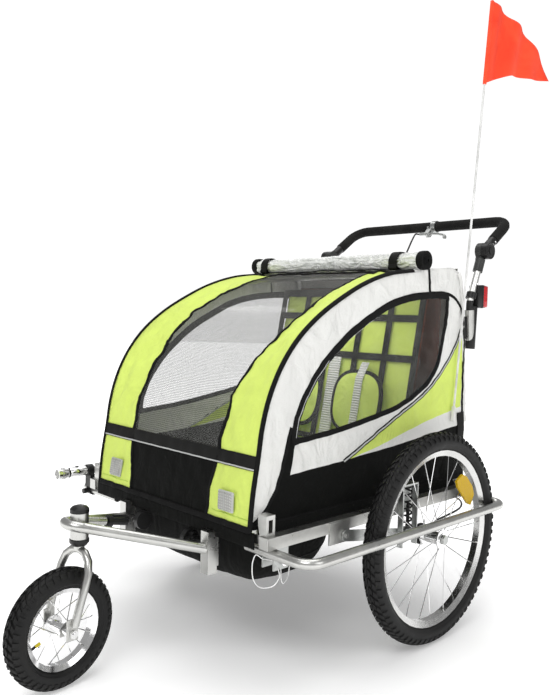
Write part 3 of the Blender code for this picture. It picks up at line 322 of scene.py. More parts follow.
def flag_cloth(name):
    g = Graph(name)
    weave = g.maths("MULTIPLY", g.wave(WAVE / 0.001, "Y"), g.wave(WAVE / 0.001, "Z"))
    broad = g.noise(7.0, 4.0, 0.6, 0.8)
    base = g.varied(broad, (0.82, 0.04, 0.01), (0.98, 0.085, 0.026))
    base = g.mix(g.maths("MULTIPLY", weave, 0.15), base, (0.7, 0.03, 0.01))
    normal = g.bump(weave, 0.0002, 0.5, g.bump(broad, 0.006, 0.4))
    return g.finish(
        Base_Color=base, Roughness=0.62, Normal=normal, Sheen_Weight=0.03, Specular_IOR_Level=0.25
    )


def ribbed_cloth():
    """White elastic strap, gathered in close cross ribs."""
    g = Graph("white_ribbed_elastic")
    ribs = g.wave(WAVE / 0.0065, "Z", twist=1.0)
    fine = g.noise(200.0, 3.0)
    # Painted shade: the grooves between the ribs are darker and the ridges lighter.
    base = g.mix(ribs, (0.62, 0.62, 0.6), (0.9, 0.9, 0.88))
    normal = g.bump(ribs, 0.0022, 0.9, g.bump(fine, 0.0004, 0.5))
    return g.finish(Base_Color=base, Roughness=0.85, Normal=normal, Sheen_Weight=0.2)


POST_SLEEVE_Z = 0.822


def dipped_tube():
    """A handle post: satin silver above, with a black plastic sleeve moulded round its lower end."""
    g = Graph("sleeved_post")
    height = g.new("ShaderNodeSeparateXYZ")
    g.put(g.place, height.inputs[0])
    silver = g.spread(height.outputs["Z"], POST_SLEEVE_Z, POST_SLEEVE_Z + 0.0006)
    marks = g.noise(160.0, 6.0, 0.7)
    steel = g.mix(g.spread(marks, 0.6, 0.78, 0.0, 0.2), (0.72, 0.72, 0.7), (0.4, 0.4, 0.39))
    black = g.mix(marks, (0.007, 0.007, 0.007), (0.014, 0.014, 0.014))
    normal = g.bump(marks, 0.0002, 0.3)
    return g.finish(
        Base_Color=g.mix(silver, black, steel), Metallic=silver, Normal=normal,
        Roughness=g.spread(marks, 0.3, 0.8, 0.28, 0.42), Specular_IOR_Level=0.4,
    )


LIME = (0.7, 0.86, 0.17)
MAT = {
    "steel": metal("satin_silver_tube", (0.55, 0.55, 0.53), 0.3, 0.25),
    "rim": metal("satin_rim", (0.6, 0.6, 0.59), 0.2, 0.12, 0.0001),
    "chrome": metal("bright_chrome", (0.86, 0.86, 0.86), 0.09, 0.15),
    "zinc": metal("zinc_sheet", (0.44, 0.45, 0.44), 0.32, 0.4, 0.0001),
    "bolt": metal("dull_bolt", (0.42, 0.42, 0.41), 0.38, 0.45),
    "black_plastic": plastic("black_moulding", (0.009, 0.009, 0.009), 0.38),
    "grey_plastic": plastic("dark_grey_moulding", (0.03, 0.031, 0.03), 0.42),
    "foam": foam("black_grip_foam"),
    "rubber": rubber("tyre_black"),
    "lime": fabric("lime_cloth", LIME, tint=0.12, crease=0.003, sheen=0.05),
    "lime_dark": fabric("lime_lining", (0.52, 0.7, 0.11), crease=0.0016, sheen=0.1),
    "white": fabric("white_cloth", (0.79, 0.79, 0.765), 0.0011, 0.05, 0.003, 0.5, sheen=0.05, gloss=0.6),
    "black": fabric("black_cloth", (0.004, 0.0043, 0.0038), 0.0011, 0.35, 0.002, 0.72, 0.0, 0.1),
    "binding": fabric("black_binding", (0.005, 0.005, 0.005), 0.0008, 0.3, 0.0004, 0.78, 0.0, 0.16),
    "webbing": fabric("black_webbing", (0.007, 0.007, 0.0065), 0.0016, 0.3, 0.0003, 0.7, 0.0, 0.2),
    "brown": fabric("dark_brown_lining", (0.1, 0.02, 0.007), tint=0.3, crease=0.003, sheen=0.0, gloss=0.2),
    "net": mesh_cloth("window_net"),
    "film": window_film("clear_window"),
    "roll": crinkled_film("rolled_film"),
    "silver_tape": fabric("reflective_tape", (0.5, 0.51, 0.5), 0.0009, 0.1, 0.0003, 0.35, sheen=0.0),
    "reflector": lens_plastic("grey_reflector", (0.46, 0.46, 0.44)),
    "amber": lens_plastic("amber_lens", (0.68, 0.43, 0.004), 0.005, 0.3, 0.0),
    "red_lens": lens_plastic("red_lens", (0.6, 0.008, 0.014), 0.005, 0.12, 0.5),
    "flag": flag_cloth("flag_cloth"),
    "pole": plastic("white_rod", (0.62, 0.62, 0.61), 0.3, 200.0, 0.0001, 0.2),
    "wire": plastic("white_wire_coat", (0.82, 0.82, 0.8), 0.22, 260.0, 0.0001, 0.3),
    "yellow": plastic("yellow_cap", (0.75, 0.6, 0.03), 0.35),
    "ribbed": ribbed_cloth(),
    "post": dipped_tube(),
}

# ---------------------------------------------------------------- helpers for pieces


def shade_smooth(mesh):
    mesh.polygons.foreach_set("use_smooth", [True] * len(mesh.polygons))


def piece(name, verts, faces, material, body, slot=None, indices=None):
    """A new mesh piece that rides on a CAD body. Several materials go with one index for each face."""
    mesh = bpy.data.meshes.new(name)
    mesh.from_pydata([tuple(v) for v in verts], [], [tuple(f) for f in faces])
    for item in material if isinstance(material, list) else [material]:
        mesh.materials.append(MAT[item])
    if indices is not None:
        mesh.polygons.foreach_set("material_index", np.array(indices, np.int32))
    shade_smooth(mesh)
    mesh.update()
    return link(name, mesh, body, slot)


def remade(obj, weld=0.0):
    """The piece with its faces turned outward, and points nearer than weld joined."""
    bm = bmesh.new()
    bm.from_mesh(obj.data)
    if weld:
        bmesh.ops.remove_doubles(bm, verts=bm.verts, dist=weld)
    bmesh.ops.recalc_face_normals(bm, faces=bm.faces)
    bm.to_mesh(obj.data)
    bm.free()


def circle(steps, start=0.0):
    """(angle, cosine, sine) of evenly spaced points round a circle."""
    angles = [2 * math.pi * (k + start) / steps for k in range(steps)]
    return [(a, math.cos(a), math.sin(a)) for a in angles]


def round_faces(rows, steps, closed=False, first=0):
    """Faces between neighbouring rings of points, and from the last ring to the first where closed."""
    faces = []
    for i in range(rows if closed else rows - 1):
        a, b = first + i * steps, first + (i + 1) % rows * steps
        faces += [(a + k, a + (k + 1) % steps, b + (k + 1) % steps, b + k) for k in range(steps)]
    return faces


def first_cap(steps):
    return tuple(range(steps))[::-1]


def last_cap(rows, steps):
    return tuple((rows - 1) * steps + k for k in range(steps))


def net_faces(rows, columns):
    """Faces of a net with this many points along each row."""
    starts = [j * columns + i for j in range(rows - 1) for i in range(columns - 1)]
    return [(a, a + 1, a + columns + 1, a + columns) for a in starts]


def thicken(obj, depth, offset=-1.0):
    modifier = obj.modifiers.new("thickness", "SOLIDIFY")
    modifier.thickness = depth
    modifier.offset = offset
    return obj


def smooth_line(points, step):
    """Points at about this spacing on a smooth curve through the given ones (centripetal Catmull-Rom)."""
    pts = [Vector(p) for p in points]
    if len(pts) == 2:
        count = max(1, round((pts[1] - pts[0]).length / step))
        return [pts[0].lerp(pts[1], i / count) for i in range(count + 1)]
    ends = [pts[0] * 2 - pts[1], *pts, pts[-1] * 2 - pts[-2]]
    line = []
    for i in range(1, len(ends) - 2):
        p0, p1, p2, p3 = ends[i - 1 : i + 3]
        t0 = 0.0
        t1 = t0 + max((p1 - p0).length, 1e-6) ** 0.5
        t2 = t1 + max((p2 - p1).length, 1e-6) ** 0.5
        t3 = t2 + max((p3 - p2).length, 1e-6) ** 0.5
        count = max(1, round((p2 - p1).length / step))
        for k in range(count):
            t = t1 + (t2 - t1) * k / count
            a1 = p0 * ((t1 - t) / (t1 - t0)) + p1 * ((t - t0) / (t1 - t0))
            a2 = p1 * ((t2 - t) / (t2 - t1)) + p2 * ((t - t1) / (t2 - t1))
            a3 = p2 * ((t3 - t) / (t3 - t2)) + p3 * ((t - t2) / (t3 - t2))
            b1 = a1 * ((t2 - t) / (t2 - t0)) + a2 * ((t - t0) / (t2 - t0))
            b2 = a2 * ((t3 - t) / (t3 - t1)) + a3 * ((t - t1) / (t3 - t1))
            line.append(b1 * ((t2 - t) / (t2 - t1)) + b2 * ((t - t1) / (t2 - t1)))
    line.append(pts[-1].copy())
    return line


def flat_line(points, step):
    """The same in a plane, as pairs of numbers."""
    return [(p.x, p.y) for p in smooth_line([(*p, 0) for p in points], step)]


class Profile:
    """A smooth (y, z) line that a sheet follows, read by its length from the first point."""

    def __init__(self, points, step=0.006):
        self.yz = np.array(flat_line(points, step))
        lengths = np.linalg.norm(np.diff(self.yz, axis=0), axis=1)
        self.s = np.concatenate([[0.0], np.cumsum(lengths)])
        self.length = float(self.s[-1])

    def point(self, s):
        return float(np.interp(s, self.s, self.yz[:, 0])), float(np.interp(s, self.s, self.yz[:, 1]))

    def normal(self, s):
        (y0, z0), (y1, z1) = self.point(max(0.0, s - 0.01)), self.point(min(self.length, s + 0.01))
        length = math.hypot(y1 - y0, z1 - z0)
        return -(z1 - z0) / length, (y1 - y0) / length

    def length_at(self, z):
        return float(np.interp(z, self.yz[:, 1], self.s))

    def fallen_to(self, z):
        """The length where a line that falls all the way reaches z."""
        return float(np.interp(-z, -self.yz[:, 1], self.s))


def wrinkle(x, y, z, scale, seed=0.0):
    """A smooth signed noise in the object's own metres."""
    return noise.noise(Vector((x * scale + seed, y * scale + seed * 0.7, z * scale - seed)))


def inside(polygon, points):
    """Which of the (n, 2) points lie in the polygon, by crossing number."""
    x, y = points[:, 0], points[:, 1]
    result = np.zeros(len(points), bool)
    x0, y0 = polygon[-1]
    for x1, y1 in polygon:
        with np.errstate(divide="ignore", invalid="ignore"):
            crosses = ((y1 > y) != (y0 > y)) & (x < (x0 - x1) * (y - y1) / (y0 - y1) + x1)
        result ^= crosses
        x0, y0 = x1, y1
    return result


def patchwork(name, outline, regions, spacing, place, materials, body, slot):
    """A sewn sheet: one fine mesh, whose seams are exactly on the outlines of its regions.

    regions are (material index, polygon), and the last that holds a face gives its material."""
    loops = [np.array(outline), *(np.array(polygon) for _, polygon in regions)]
    verts, edges = [], []
    for loop in loops:
        start = len(verts)
        fine = []
        for i in range(len(loop)):
            a, b = loop[i], loop[(i + 1) % len(loop)]
            count = max(1, int(np.ceil(np.linalg.norm(b - a) / (spacing * 1.2))))
            fine += [tuple(a + (b - a) * k / count) for k in range(count)]
        verts += fine
        edges += [(start + i, start + (i + 1) % len(fine)) for i in range(len(fine))]
    low, high = loops[0].min(axis=0), loops[0].max(axis=0)
    rows = int((high[1] - low[1]) / (spacing * 0.87)) + 1
    columns = int((high[0] - low[0]) / spacing) + 1
    grid = np.array(
        [
            (low[0] + spacing * (i + 0.5 * (j % 2)), low[1] + spacing * 0.87 * (j + 0.5))
            for j in range(rows)
            for i in range(columns)
        ]
    )
    grid = grid[inside(loops[0], grid)]
    rim = np.array(verts)
    near = np.array([np.min(np.sum((rim - p) ** 2, axis=1)) for p in grid]) < (spacing * 0.45) ** 2
    verts += [tuple(p) for p in grid[~near]]
    points, _, faces, *_ = delaunay_2d_cdt([Vector(v) for v in verts], edges, [], 0, 1e-6)
    flat = np.array([(p.x, p.y) for p in points])
    corners = np.array([f for f in faces if len(f) == 3])
    middle = flat[corners].mean(axis=1)
    kept = inside(loops[0], middle)
    index = np.zeros(len(corners), int)
    for (material, _), loop in zip(regions, loops[1:]):
        index[inside(loop, middle)] = material
    corners, index = corners[kept], index[kept]
    used = np.unique(corners)
    renumber = np.zeros(len(flat), int)
    renumber[used] = np.arange(len(used))
    return piece(name, [place(*flat[i]) for i in used], renumber[corners], materials, body, slot, index)


def ribbon(name, line, normals, width, thick, material, body, slot=None, closed=False, sides=8):
    """A flat, round-edged tape or piping along a line, lying on a surface with these normals."""
    line = [Vector(p) for p in line]
    if not isinstance(normals, list):
        normals = [Vector(normals)] * len(line)
    verts = []
    count = len(line)
    for i, p in enumerate(line):
        before = line[(i - 1) % count] if closed or i else p
        after = line[(i + 1) % count] if closed or i < count - 1 else p
        along = (after - before).normalized()
        n = Vector(normals[i])
        n = (n - along * n.dot(along)).normalized()
        across = along.cross(n)
        for _, c, s in circle(sides, 0.5):
            c, s = (math.copysign(abs(v) ** 0.6, v) for v in (c, s))
            verts.append(p + across * (c * width / 2) + n * (s * thick / 2))
    faces = round_faces(count, sides, closed)
    if not closed:
        faces += [first_cap(sides), last_cap(count, sides)]
    return piece(name, verts, faces, material, body, slot)


def axis_frame(origin, axis):
    """The place of something turned, whose own Z points along the axis."""
    return Matrix.Translation(origin) @ Vector(axis).to_track_quat("Z", "Y").to_matrix().to_4x4()


def turned_points(place, profile, steps):
    return [place @ Vector((r * c, r * s, h)) for r, h in profile for _, c, s in circle(steps)]


def lathe(name, profile, steps, material, body, origin, axis, slot=None):
    """A turned piece: (radius, height) points round an axis."""
    faces = round_faces(len(profile), steps)
    if profile[0][0] > 1e-6:
        faces.append(first_cap(steps))
    if profile[-1][0] > 1e-6:
        faces.append(last_cap(len(profile), steps))
    verts = turned_points(axis_frame(origin, axis), profile, steps)
    obj = piece(name, verts, faces, material, body, slot)
    remade(obj, 1e-6)
    sharpen(obj, 35)
    return obj


def sharpen(obj, degrees):
    obj.data.set_sharp_from_angle(angle=math.radians(degrees))


def block(name, low, high, material, body, slot=None, bevel=0.001, turn=None):
    """A rounded box between two corners, with an optional placing matrix."""
    place = turn or Matrix.Identity(4)
    corners = [(x, y, z) for x in (low[0], high[0]) for y in (low[1], high[1]) for z in (low[2], high[2])]
    faces = [(0, 1, 3, 2), (4, 6, 7, 5), (0, 4, 5, 1), (2, 3, 7, 6), (0, 2, 6, 4), (1, 5, 7, 3)]
    bm = bmesh.new()
    verts = [bm.verts.new(place @ Vector(c)) for c in corners]
    for f in faces:
        bm.faces.new([verts[i] for i in f])
    bmesh.ops.recalc_face_normals(bm, faces=bm.faces)
    bmesh.ops.bevel(bm, geom=bm.edges[:], offset=bevel, segments=3, profile=0.5, affect="EDGES")
    mesh = bpy.data.meshes.new(name)
    bm.to_mesh(mesh)
    bm.free()
    mesh.materials.append(MAT[material])
    shade_smooth(mesh)
    obj = link(name, mesh, body, slot)
    sharpen(obj, 40)
    return obj


def merged(name, objects, body, slot=None):
    """Several pieces made one, keeping each one's materials."""
    verts, faces, indices, materials, smooth = [], [], [], [], []
    graph = bpy.context.evaluated_depsgraph_get()
    for obj in objects:
        mesh = obj.evaluated_get(graph).to_mesh()
        start = len(verts)
        local = []
        for item in obj.data.materials:
            if item not in materials:
                materials.append(item)
            local.append(materials.index(item))
        verts += [tuple(obj.matrix_world @ v.co) for v in mesh.vertices]
        for p in mesh.polygons:
            faces.append([start + i for i in p.vertices])
            indices.append(local[min(p.material_index, len(local) - 1)])
            smooth.append(p.use_smooth)
        obj.to_mesh_clear()
    made = bpy.data.meshes.new(name)
    made.from_pydata(verts, [], faces)
    for item in materials:
        made.materials.append(item)
    made.polygons.foreach_set("material_index", np.array(indices, np.int32))
    made.polygons.foreach_set("use_smooth", smooth)
    made.update()
    for obj in objects:
        bpy.data.objects.remove(obj)
    whole = link(name, made, body, slot)
    sharpen(whole, 40)
    return whole


def swollen(obj, cap, pressure=4.0, voxel=0.006, frames=20):
    """Stuffs a piece: remeshed, blown up as cloth without gravity, and moved no further than the cap."""
    remesh = obj.modifiers.new("remesh", "REMESH")
    remesh.mode = "VOXEL"
    remesh.voxel_size = voxel
    apply_modifiers(obj)
    start = np.array([v.co for v in obj.data.vertices])
    cloth = obj.modifiers.new("cloth", "CLOTH")
    cloth.settings.use_pressure = True
    cloth.settings.uniform_pressure_force = pressure
    cloth.settings.effector_weights.gravity = 0.0
    cloth.settings.quality = 4
    cloth.point_cache.frame_start, cloth.point_cache.frame_end = 1, frames
    scene = bpy.context.scene
    for number in range(1, frames + 1):
        scene.frame_set(number)
    apply_modifiers(obj)
    scene.frame_set(1)
    moved = np.array([v.co for v in obj.data.vertices]) - start
    length = np.linalg.norm(moved, axis=1, keepdims=True)
    moved *= np.minimum(1.0, cap / np.maximum(length, 1e-9))
    obj.data.vertices.foreach_set("co", (start + moved).astype(np.float32).ravel())
    obj.data.update()
    shade_smooth(obj.data)


def apply_modifiers(obj):
    graph = bpy.context.evaluated_depsgraph_get()
    graph.update()
    mesh = bpy.data.meshes.new_from_object(obj.evaluated_get(graph), depsgraph=graph)
    obj.modifiers.clear()
    obj.data = mesh


# ---------------------------------------------------------------- cords: the hitch pin's two wire loops


def curve_piece(name, line, radius, material, body, slot):
    """A round wire as a curve with capped ends, on one open spline."""
    data = bpy.data.curves.new(name, "CURVE")
    data.dimensions = "3D"
    data.bevel_depth = radius
    data.bevel_resolution = 3
    data.use_fill_caps = True
    spline = data.splines.new("POLY")
    spline.points.add(len(line) - 1)
    for point, place in zip(spline.points, line):
        point.co = (*place, 1.0)
    spline.use_smooth = True
    data.materials.append(MAT[material])
    return link(name, data, body, slot)


WIRE = 0.0022
LANYARDS = {
    "front": (
        (0.314, -0.34, 0.264), (0.32, -0.34, 0.256), (0.322, -0.34, 0.243), (0.317, -0.35, 0.2275),
        (0.306, -0.3636, 0.2225), (0.302, -0.38, 0.229), (0.3, -0.391, 0.245), (0.3, -0.3949, 0.2652),
        (0.299, -0.392, 0.283), (0.298, -0.384, 0.2925), (0.297, -0.3745, 0.288), (0.296, -0.364, 0.28),
        (0.295, -0.356, 0.277), (0.309, -0.3483, 0.2765),
    ),
    "rear": (
        (0.314, -0.328, 0.2565), (0.3165, -0.33, 0.248), (0.3165, -0.329, 0.236), (0.3145, -0.3213, 0.2238),
        (0.312, -0.308, 0.23), (0.3095, -0.3, 0.2433), (0.309, -0.2985, 0.258), (0.3095, -0.3005, 0.268),
        (0.31, -0.3032, 0.272),
    ),
}


def lanyards():
    for word, route in LANYARDS.items():
        line = smooth_line(route, 0.0035)
        loop = curve_piece(f"{word}_wire_loop", line, WIRE / 2, "wire", "frame", "coated_wire")
        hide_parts(f"{word}_lanyard")


lanyards()

# ---------------------------------------------------------------- the CAD nodes' own finish


def smoothing_group():
    """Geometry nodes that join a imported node's split corners and shade it smooth up to its real edges."""
    tree = bpy.data.node_groups.new("weld_and_smooth", "GeometryNodeTree")
    tree.interface.new_socket("Geometry", in_out="INPUT", socket_type="NodeSocketGeometry")
    tree.interface.new_socket("Geometry", in_out="OUTPUT", socket_type="NodeSocketGeometry")
    start, end = tree.nodes.new("NodeGroupInput"), tree.nodes.new("NodeGroupOutput")
    merge = tree.nodes.new("GeometryNodeMergeByDistance")
    merge.inputs["Distance"].default_value = 2e-5
    angle = tree.nodes.new("GeometryNodeInputMeshEdgeAngle")
    compare = tree.nodes.new("FunctionNodeCompare")
    compare.operation = "GREATER_THAN"
    compare.inputs[1].default_value = math.radians(38)
    faces = tree.nodes.new("GeometryNodeSetShadeSmooth")
    faces.domain = "FACE"
    edges = tree.nodes.new("GeometryNodeSetShadeSmooth")
    edges.domain = "EDGE"
    edges.inputs["Shade Smooth"].default_value = False
    tree.links.new(start.outputs[0], merge.inputs["Geometry"])
    tree.links.new(merge.outputs["Geometry"], faces.inputs["Geometry"])
    tree.links.new(faces.outputs["Geometry"], edges.inputs["Geometry"])
    tree.links.new(angle.outputs["Unsigned Angle"], compare.inputs[0])
    tree.links.new(compare.outputs[0], edges.inputs["Selection"])
    tree.links.new(edges.outputs["Geometry"], end.inputs[0])
    return tree


SMOOTHING = smoothing_group()
NODE_LOOKS = {  # a name that ends in * has a left and a right one
    "steel": "base_frame side_hoop_* top_crossbar bumper_* front_arm fork",
    "post": "handle_post_*",
    "rim": "rear_rim_*",
    "chrome": "front_rim front_hub rear_hub_* front_axle hitch_pin flashlight",
    "zinc": "hitch_bracket trailing_arm_* spring_housing_* brake_clamp brake_lever",
    "black_plastic": "brake_drum fork_cover head_cap swivel_lock_pull arm_knob_* handlebar tail_light "
    "flashlight_clamp flashlight_switch joint_button_*",
    "grey_plastic": "handle_joint_*",
    "foam": "handle_grip",
    "amber": "wheel_reflector",
    "pole": "flag_pole",
}
EDGED = (
    "base_frame front_arm hitch_bracket trailing_arm_* spring_housing_* tail_light flashlight_clamp "
    "brake_clamp handlebar handle_joint_* wheel_reflector arm_knob_* swivel_lock_pull head_cap"
).split()


def finish_nodes():
    for look, names in NODE_LOOKS.items():
        for name in names.split():
            for word in ("left", "right") if name.endswith("*") else ("",):
                node = NODES[name.rstrip("*") + word]
                for slot in node.material_slots:
                    slot.material = MAT[look]
                split = node.data.attributes.get("custom_normal")
                if split:
                    node.data.attributes.remove(split)
                node.modifiers.new("smooth", "NODES").node_group = SMOOTHING
                if name in EDGED:
                    edge = node.modifiers.new("edge", "BEVEL")
                    edge.width = 0.0007
                    edge.segments = 2
                    edge.limit_method = "ANGLE"
                    edge.angle_limit = math.radians(50)
                    edge.harden_normals = True


finish_nodes()

# ---------------------------------------------------------------- tyres


TREAD, TYRE_STEPS = 0.0042, 160


def tyre_piece(name, node, body, origin, axis, outer, half, edge, pitch_count):
    """A tyre with a smooth wall, moulding ribs and a tread of chevron blocks."""
    place = axis_frame(origin, axis)

    def surface(share):
        return outer - TREAD - 0.0125 * min(1.0, share) ** 2.6

    wall = [(c * half, surface(c)) for c in (0.0, 0.2, 0.4, 0.6, 0.78, 0.92)]
    wall += [(c * half, outer - down) for c, down in ((0.985, 0.02), (1.0, 0.026), (0.97, 0.031))]
    wall += [(c * half, edge + up) for c, up in ((0.86, 0.0075), (0.8, 0.006), (0.79, 0.0045), (0.7, 0.0022))]
    wall += [(0.011, edge + 0.0006), (0.0095, edge - 0.004)]
    profile = [(r, -h) for h, r in wall[::-1]] + [(r, h) for h, r in wall[1:]]
    verts = turned_points(place, profile, TYRE_STEPS)
    faces = round_faces(len(profile), TYRE_STEPS, closed=True)
    step = 2 * math.pi / pitch_count

    def knob(a, shares, heights, skews):
        """One tread block, from the angle a, with its outer face a little smaller than its foot."""
        start = len(verts)
        (a0, a1), (skew0, skew1) = [a + step * n for n in shares], [step * n for n in skews]
        h0, h1 = heights
        for level, pinch in ((-0.0015, 0.0), (TREAD, 0.1)):
            for corner, h, skew in ((a0, h0, skew0), (a1, h0, skew0), (a1, h1, skew1), (a0, h1, skew1)):
                aa = corner + ((a0 + a1) / 2 - corner) * pinch + skew
                hh = h + ((h0 + h1) / 2 - h) * pinch
                r = surface(abs(hh) / half) + level
                verts.append(place @ Vector((r * math.cos(aa), r * math.sin(aa), hh)))
        for f in ((0, 1, 5, 4), (1, 2, 6, 5), (2, 3, 7, 6), (3, 0, 4, 7), (4, 5, 6, 7)):
            faces.append(tuple(start + i for i in f))

    for k in range(pitch_count):
        for side in (half, -half):
            knob(k * step, (0.0, 0.62), (side * 0.03, side * 0.34), (0.0, 0.4))
            knob(k * step, (0.35, 0.92), (side * 0.4, side * 0.7), (0.1, 0.45))
            knob(k * step, (0.05, 0.58), (side * 0.74, side * 1.03), (0.25, 0.3))
    obj = piece(name, verts, faces, "rubber", body, "tyre_rubber")
    remade(obj)
    sharpen(obj, 42)
    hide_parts(node)


FORK_TURN = math.radians(5.8)
FRONT_AXIS = Vector((math.cos(FORK_TURN), math.sin(FORK_TURN), 0))
FRONT_ORIGIN = Vector((0.0437 * math.sin(FORK_TURN), -0.608 - 0.0437 * math.cos(FORK_TURN), 0.1238))
REAR_Y, REAR_RADIUS = 0.113, 0.2515


def rear_origin(side):
    return side * 0.385, REAR_Y, REAR_RADIUS


for SIDE, WORD in SIDES:
    NAMES = f"rear_tread_{WORD}", f"rear_tyre_{WORD}", f"wheel_{WORD}"
    tyre_piece(*NAMES, rear_origin(SIDE), SIDE * X, REAR_RADIUS, 0.0225, 0.2095, 76)
tyre_piece("front_tread", "front_tyre", "front_wheel", FRONT_ORIGIN, FRONT_AXIS, 0.1238, 0.022, 0.0835, 44)


def valve(name, body, origin, axis, radius, angle, length, cap):
    """A tyre valve standing on the inner face of the rim."""
    turn = Vector(axis).to_track_quat("Z", "Y").to_matrix()
    out = turn @ Vector((math.cos(angle), math.sin(angle), 0))
    foot, half = Vector(origin) + out * radius, length / 2
    stem = [(0.0, 0.0), (0.0028, 0.0), (0.0028, half), (0.0, half)]
    top = [(0.0, 0.0), (0.0034, 0.0), (0.0034, half * 0.9), (0.0026, half), (0.0, half)]
    parts = [
        lathe(f"{name}_stem", stem, 14, "black_plastic", None, foot, -out),
        lathe(f"{name}_cap", top, 14, cap, None, foot - out * half, -out),
    ]
    merged(name, parts, body)


valve("front_valve", "front_wheel", FRONT_ORIGIN, FRONT_AXIS, 0.0735, math.radians(200), 0.024, "yellow")
for (SIDE, WORD), ANGLE in zip(SIDES, (172, 40)):
    NAMES = f"rear_valve_{WORD}", f"wheel_{WORD}"
    valve(*NAMES, rear_origin(SIDE), SIDE * X, 0.1955, math.radians(ANGLE), 0.026, "black_plastic")

# ---------------------------------------------------------------- front cover

COVER_LINE = (
    (-0.391, 0.334), (-0.384, 0.41), (-0.372, 0.48), (-0.362, 0.545), (-0.344, 0.605), (-0.313, 0.665),
    (-0.268, 0.72), (-0.208, 0.768), (-0.131, 0.812), (-0.046, 0.85), (0.044, 0.876), (0.136, 0.888),
)
ROOF_LINE = ((0.1405, 0.8885), (0.195, 0.8945), (0.255, 0.901), (0.309, 0.904))
REAR_LINE = (
    (0.348, 0.903), (0.38, 0.89), (0.4, 0.862), (0.41, 0.82), (0.41, 0.7), (0.407, 0.6), (0.402, 0.5),
    (0.396, 0.42), (0.39, 0.342),
)
SIDE_BACK = ((0.331, 0.896), (0.343, 0.87), (0.359, 0.74), (0.375, 0.6), (0.386, 0.472), (0.393, 0.342))
COVER = Profile(COVER_LINE)
BAND_S = COVER.length_at(0.4735)
BAND_TOP = COVER.length_at(0.484)
SAG_S = (0.0, 0.155, 0.2, 0.25, 0.3, 0.345, 0.4, 0.485, 0.53, 0.59, 0.65, 0.7, 0.8, 0.86)
SAG_DEPTH = (0.0, 0.0, 0.004, 0.012, 0.021, 0.034, 0.044, 0.045, 0.04, 0.034, 0.03, 0.026, 0.01, 0.0)
INNER_S = (0.14, 0.25, 0.34, 0.38, 0.445, 0.527, 0.59, 0.65, 0.7, 0.78, 0.86)
INNER_X = (0.162, 0.166, 0.17, 0.176, 0.188, 0.196, 0.193, 0.187, 0.187, 0.186, 0.19)


def cover_inner(s):
    """Half the width between the lime strips, whose sewn edges pull into small waves."""
    waves = 0.0026 * math.sin(s * 62.0) + 0.0014 * math.sin(s * 131.0 + 1.0)
    return float(np.interp(s, INNER_S, INNER_X)) + waves


def cover_tab(s):
    return 0.141 + 0.021 * s / BAND_TOP


def cover_place(x, s, lift=0.0):
    """A point of the cover, which is stretched between two hoops and so sags between them."""
    y, z = COVER.point(s)
    ny, nz = COVER.normal(s)
    share = max(0.0, 1.0 - (abs(x) / 0.266) ** 2.0)
    sag = float(np.interp(s, SAG_S, SAG_DEPTH)) * share
    inner = cover_inner(s) if s > BAND_TOP else cover_tab(s)
    cloth = min(1.0, max(0.0, (0.283 - abs(x)) / 0.04))
    depth = 0.0062 if abs(x) > inner else 0.0022
    folds = wrinkle(x * 1.5, y + z, (z - y) * 0.7 + x * math.copysign(1.4, x), 17.0, 3.0)
    small = wrinkle(x, y, z, 62.0, 8.0)
    out = -sag + lift + cloth * (depth * folds + 0.001 * small) - 0.001
    return Vector((x, y + ny * out, z + nz * out))


def cover_normal(x, s):
    a = cover_place(x + 0.004, s) - cover_place(x - 0.004, s)
    b = cover_place(x, min(s + 0.006, COVER.length)) - cover_place(x, max(s - 0.006, 0.0))
    return a.cross(b).normalized()


def on_cover(points, lift=0.0012):
    """A line through these (x, s) points on the cover, with the cover's normals."""
    flat = flat_line(points, 0.008)
    return [cover_place(x, s, lift) for x, s in flat], [cover_normal(x, s) for x, s in flat]


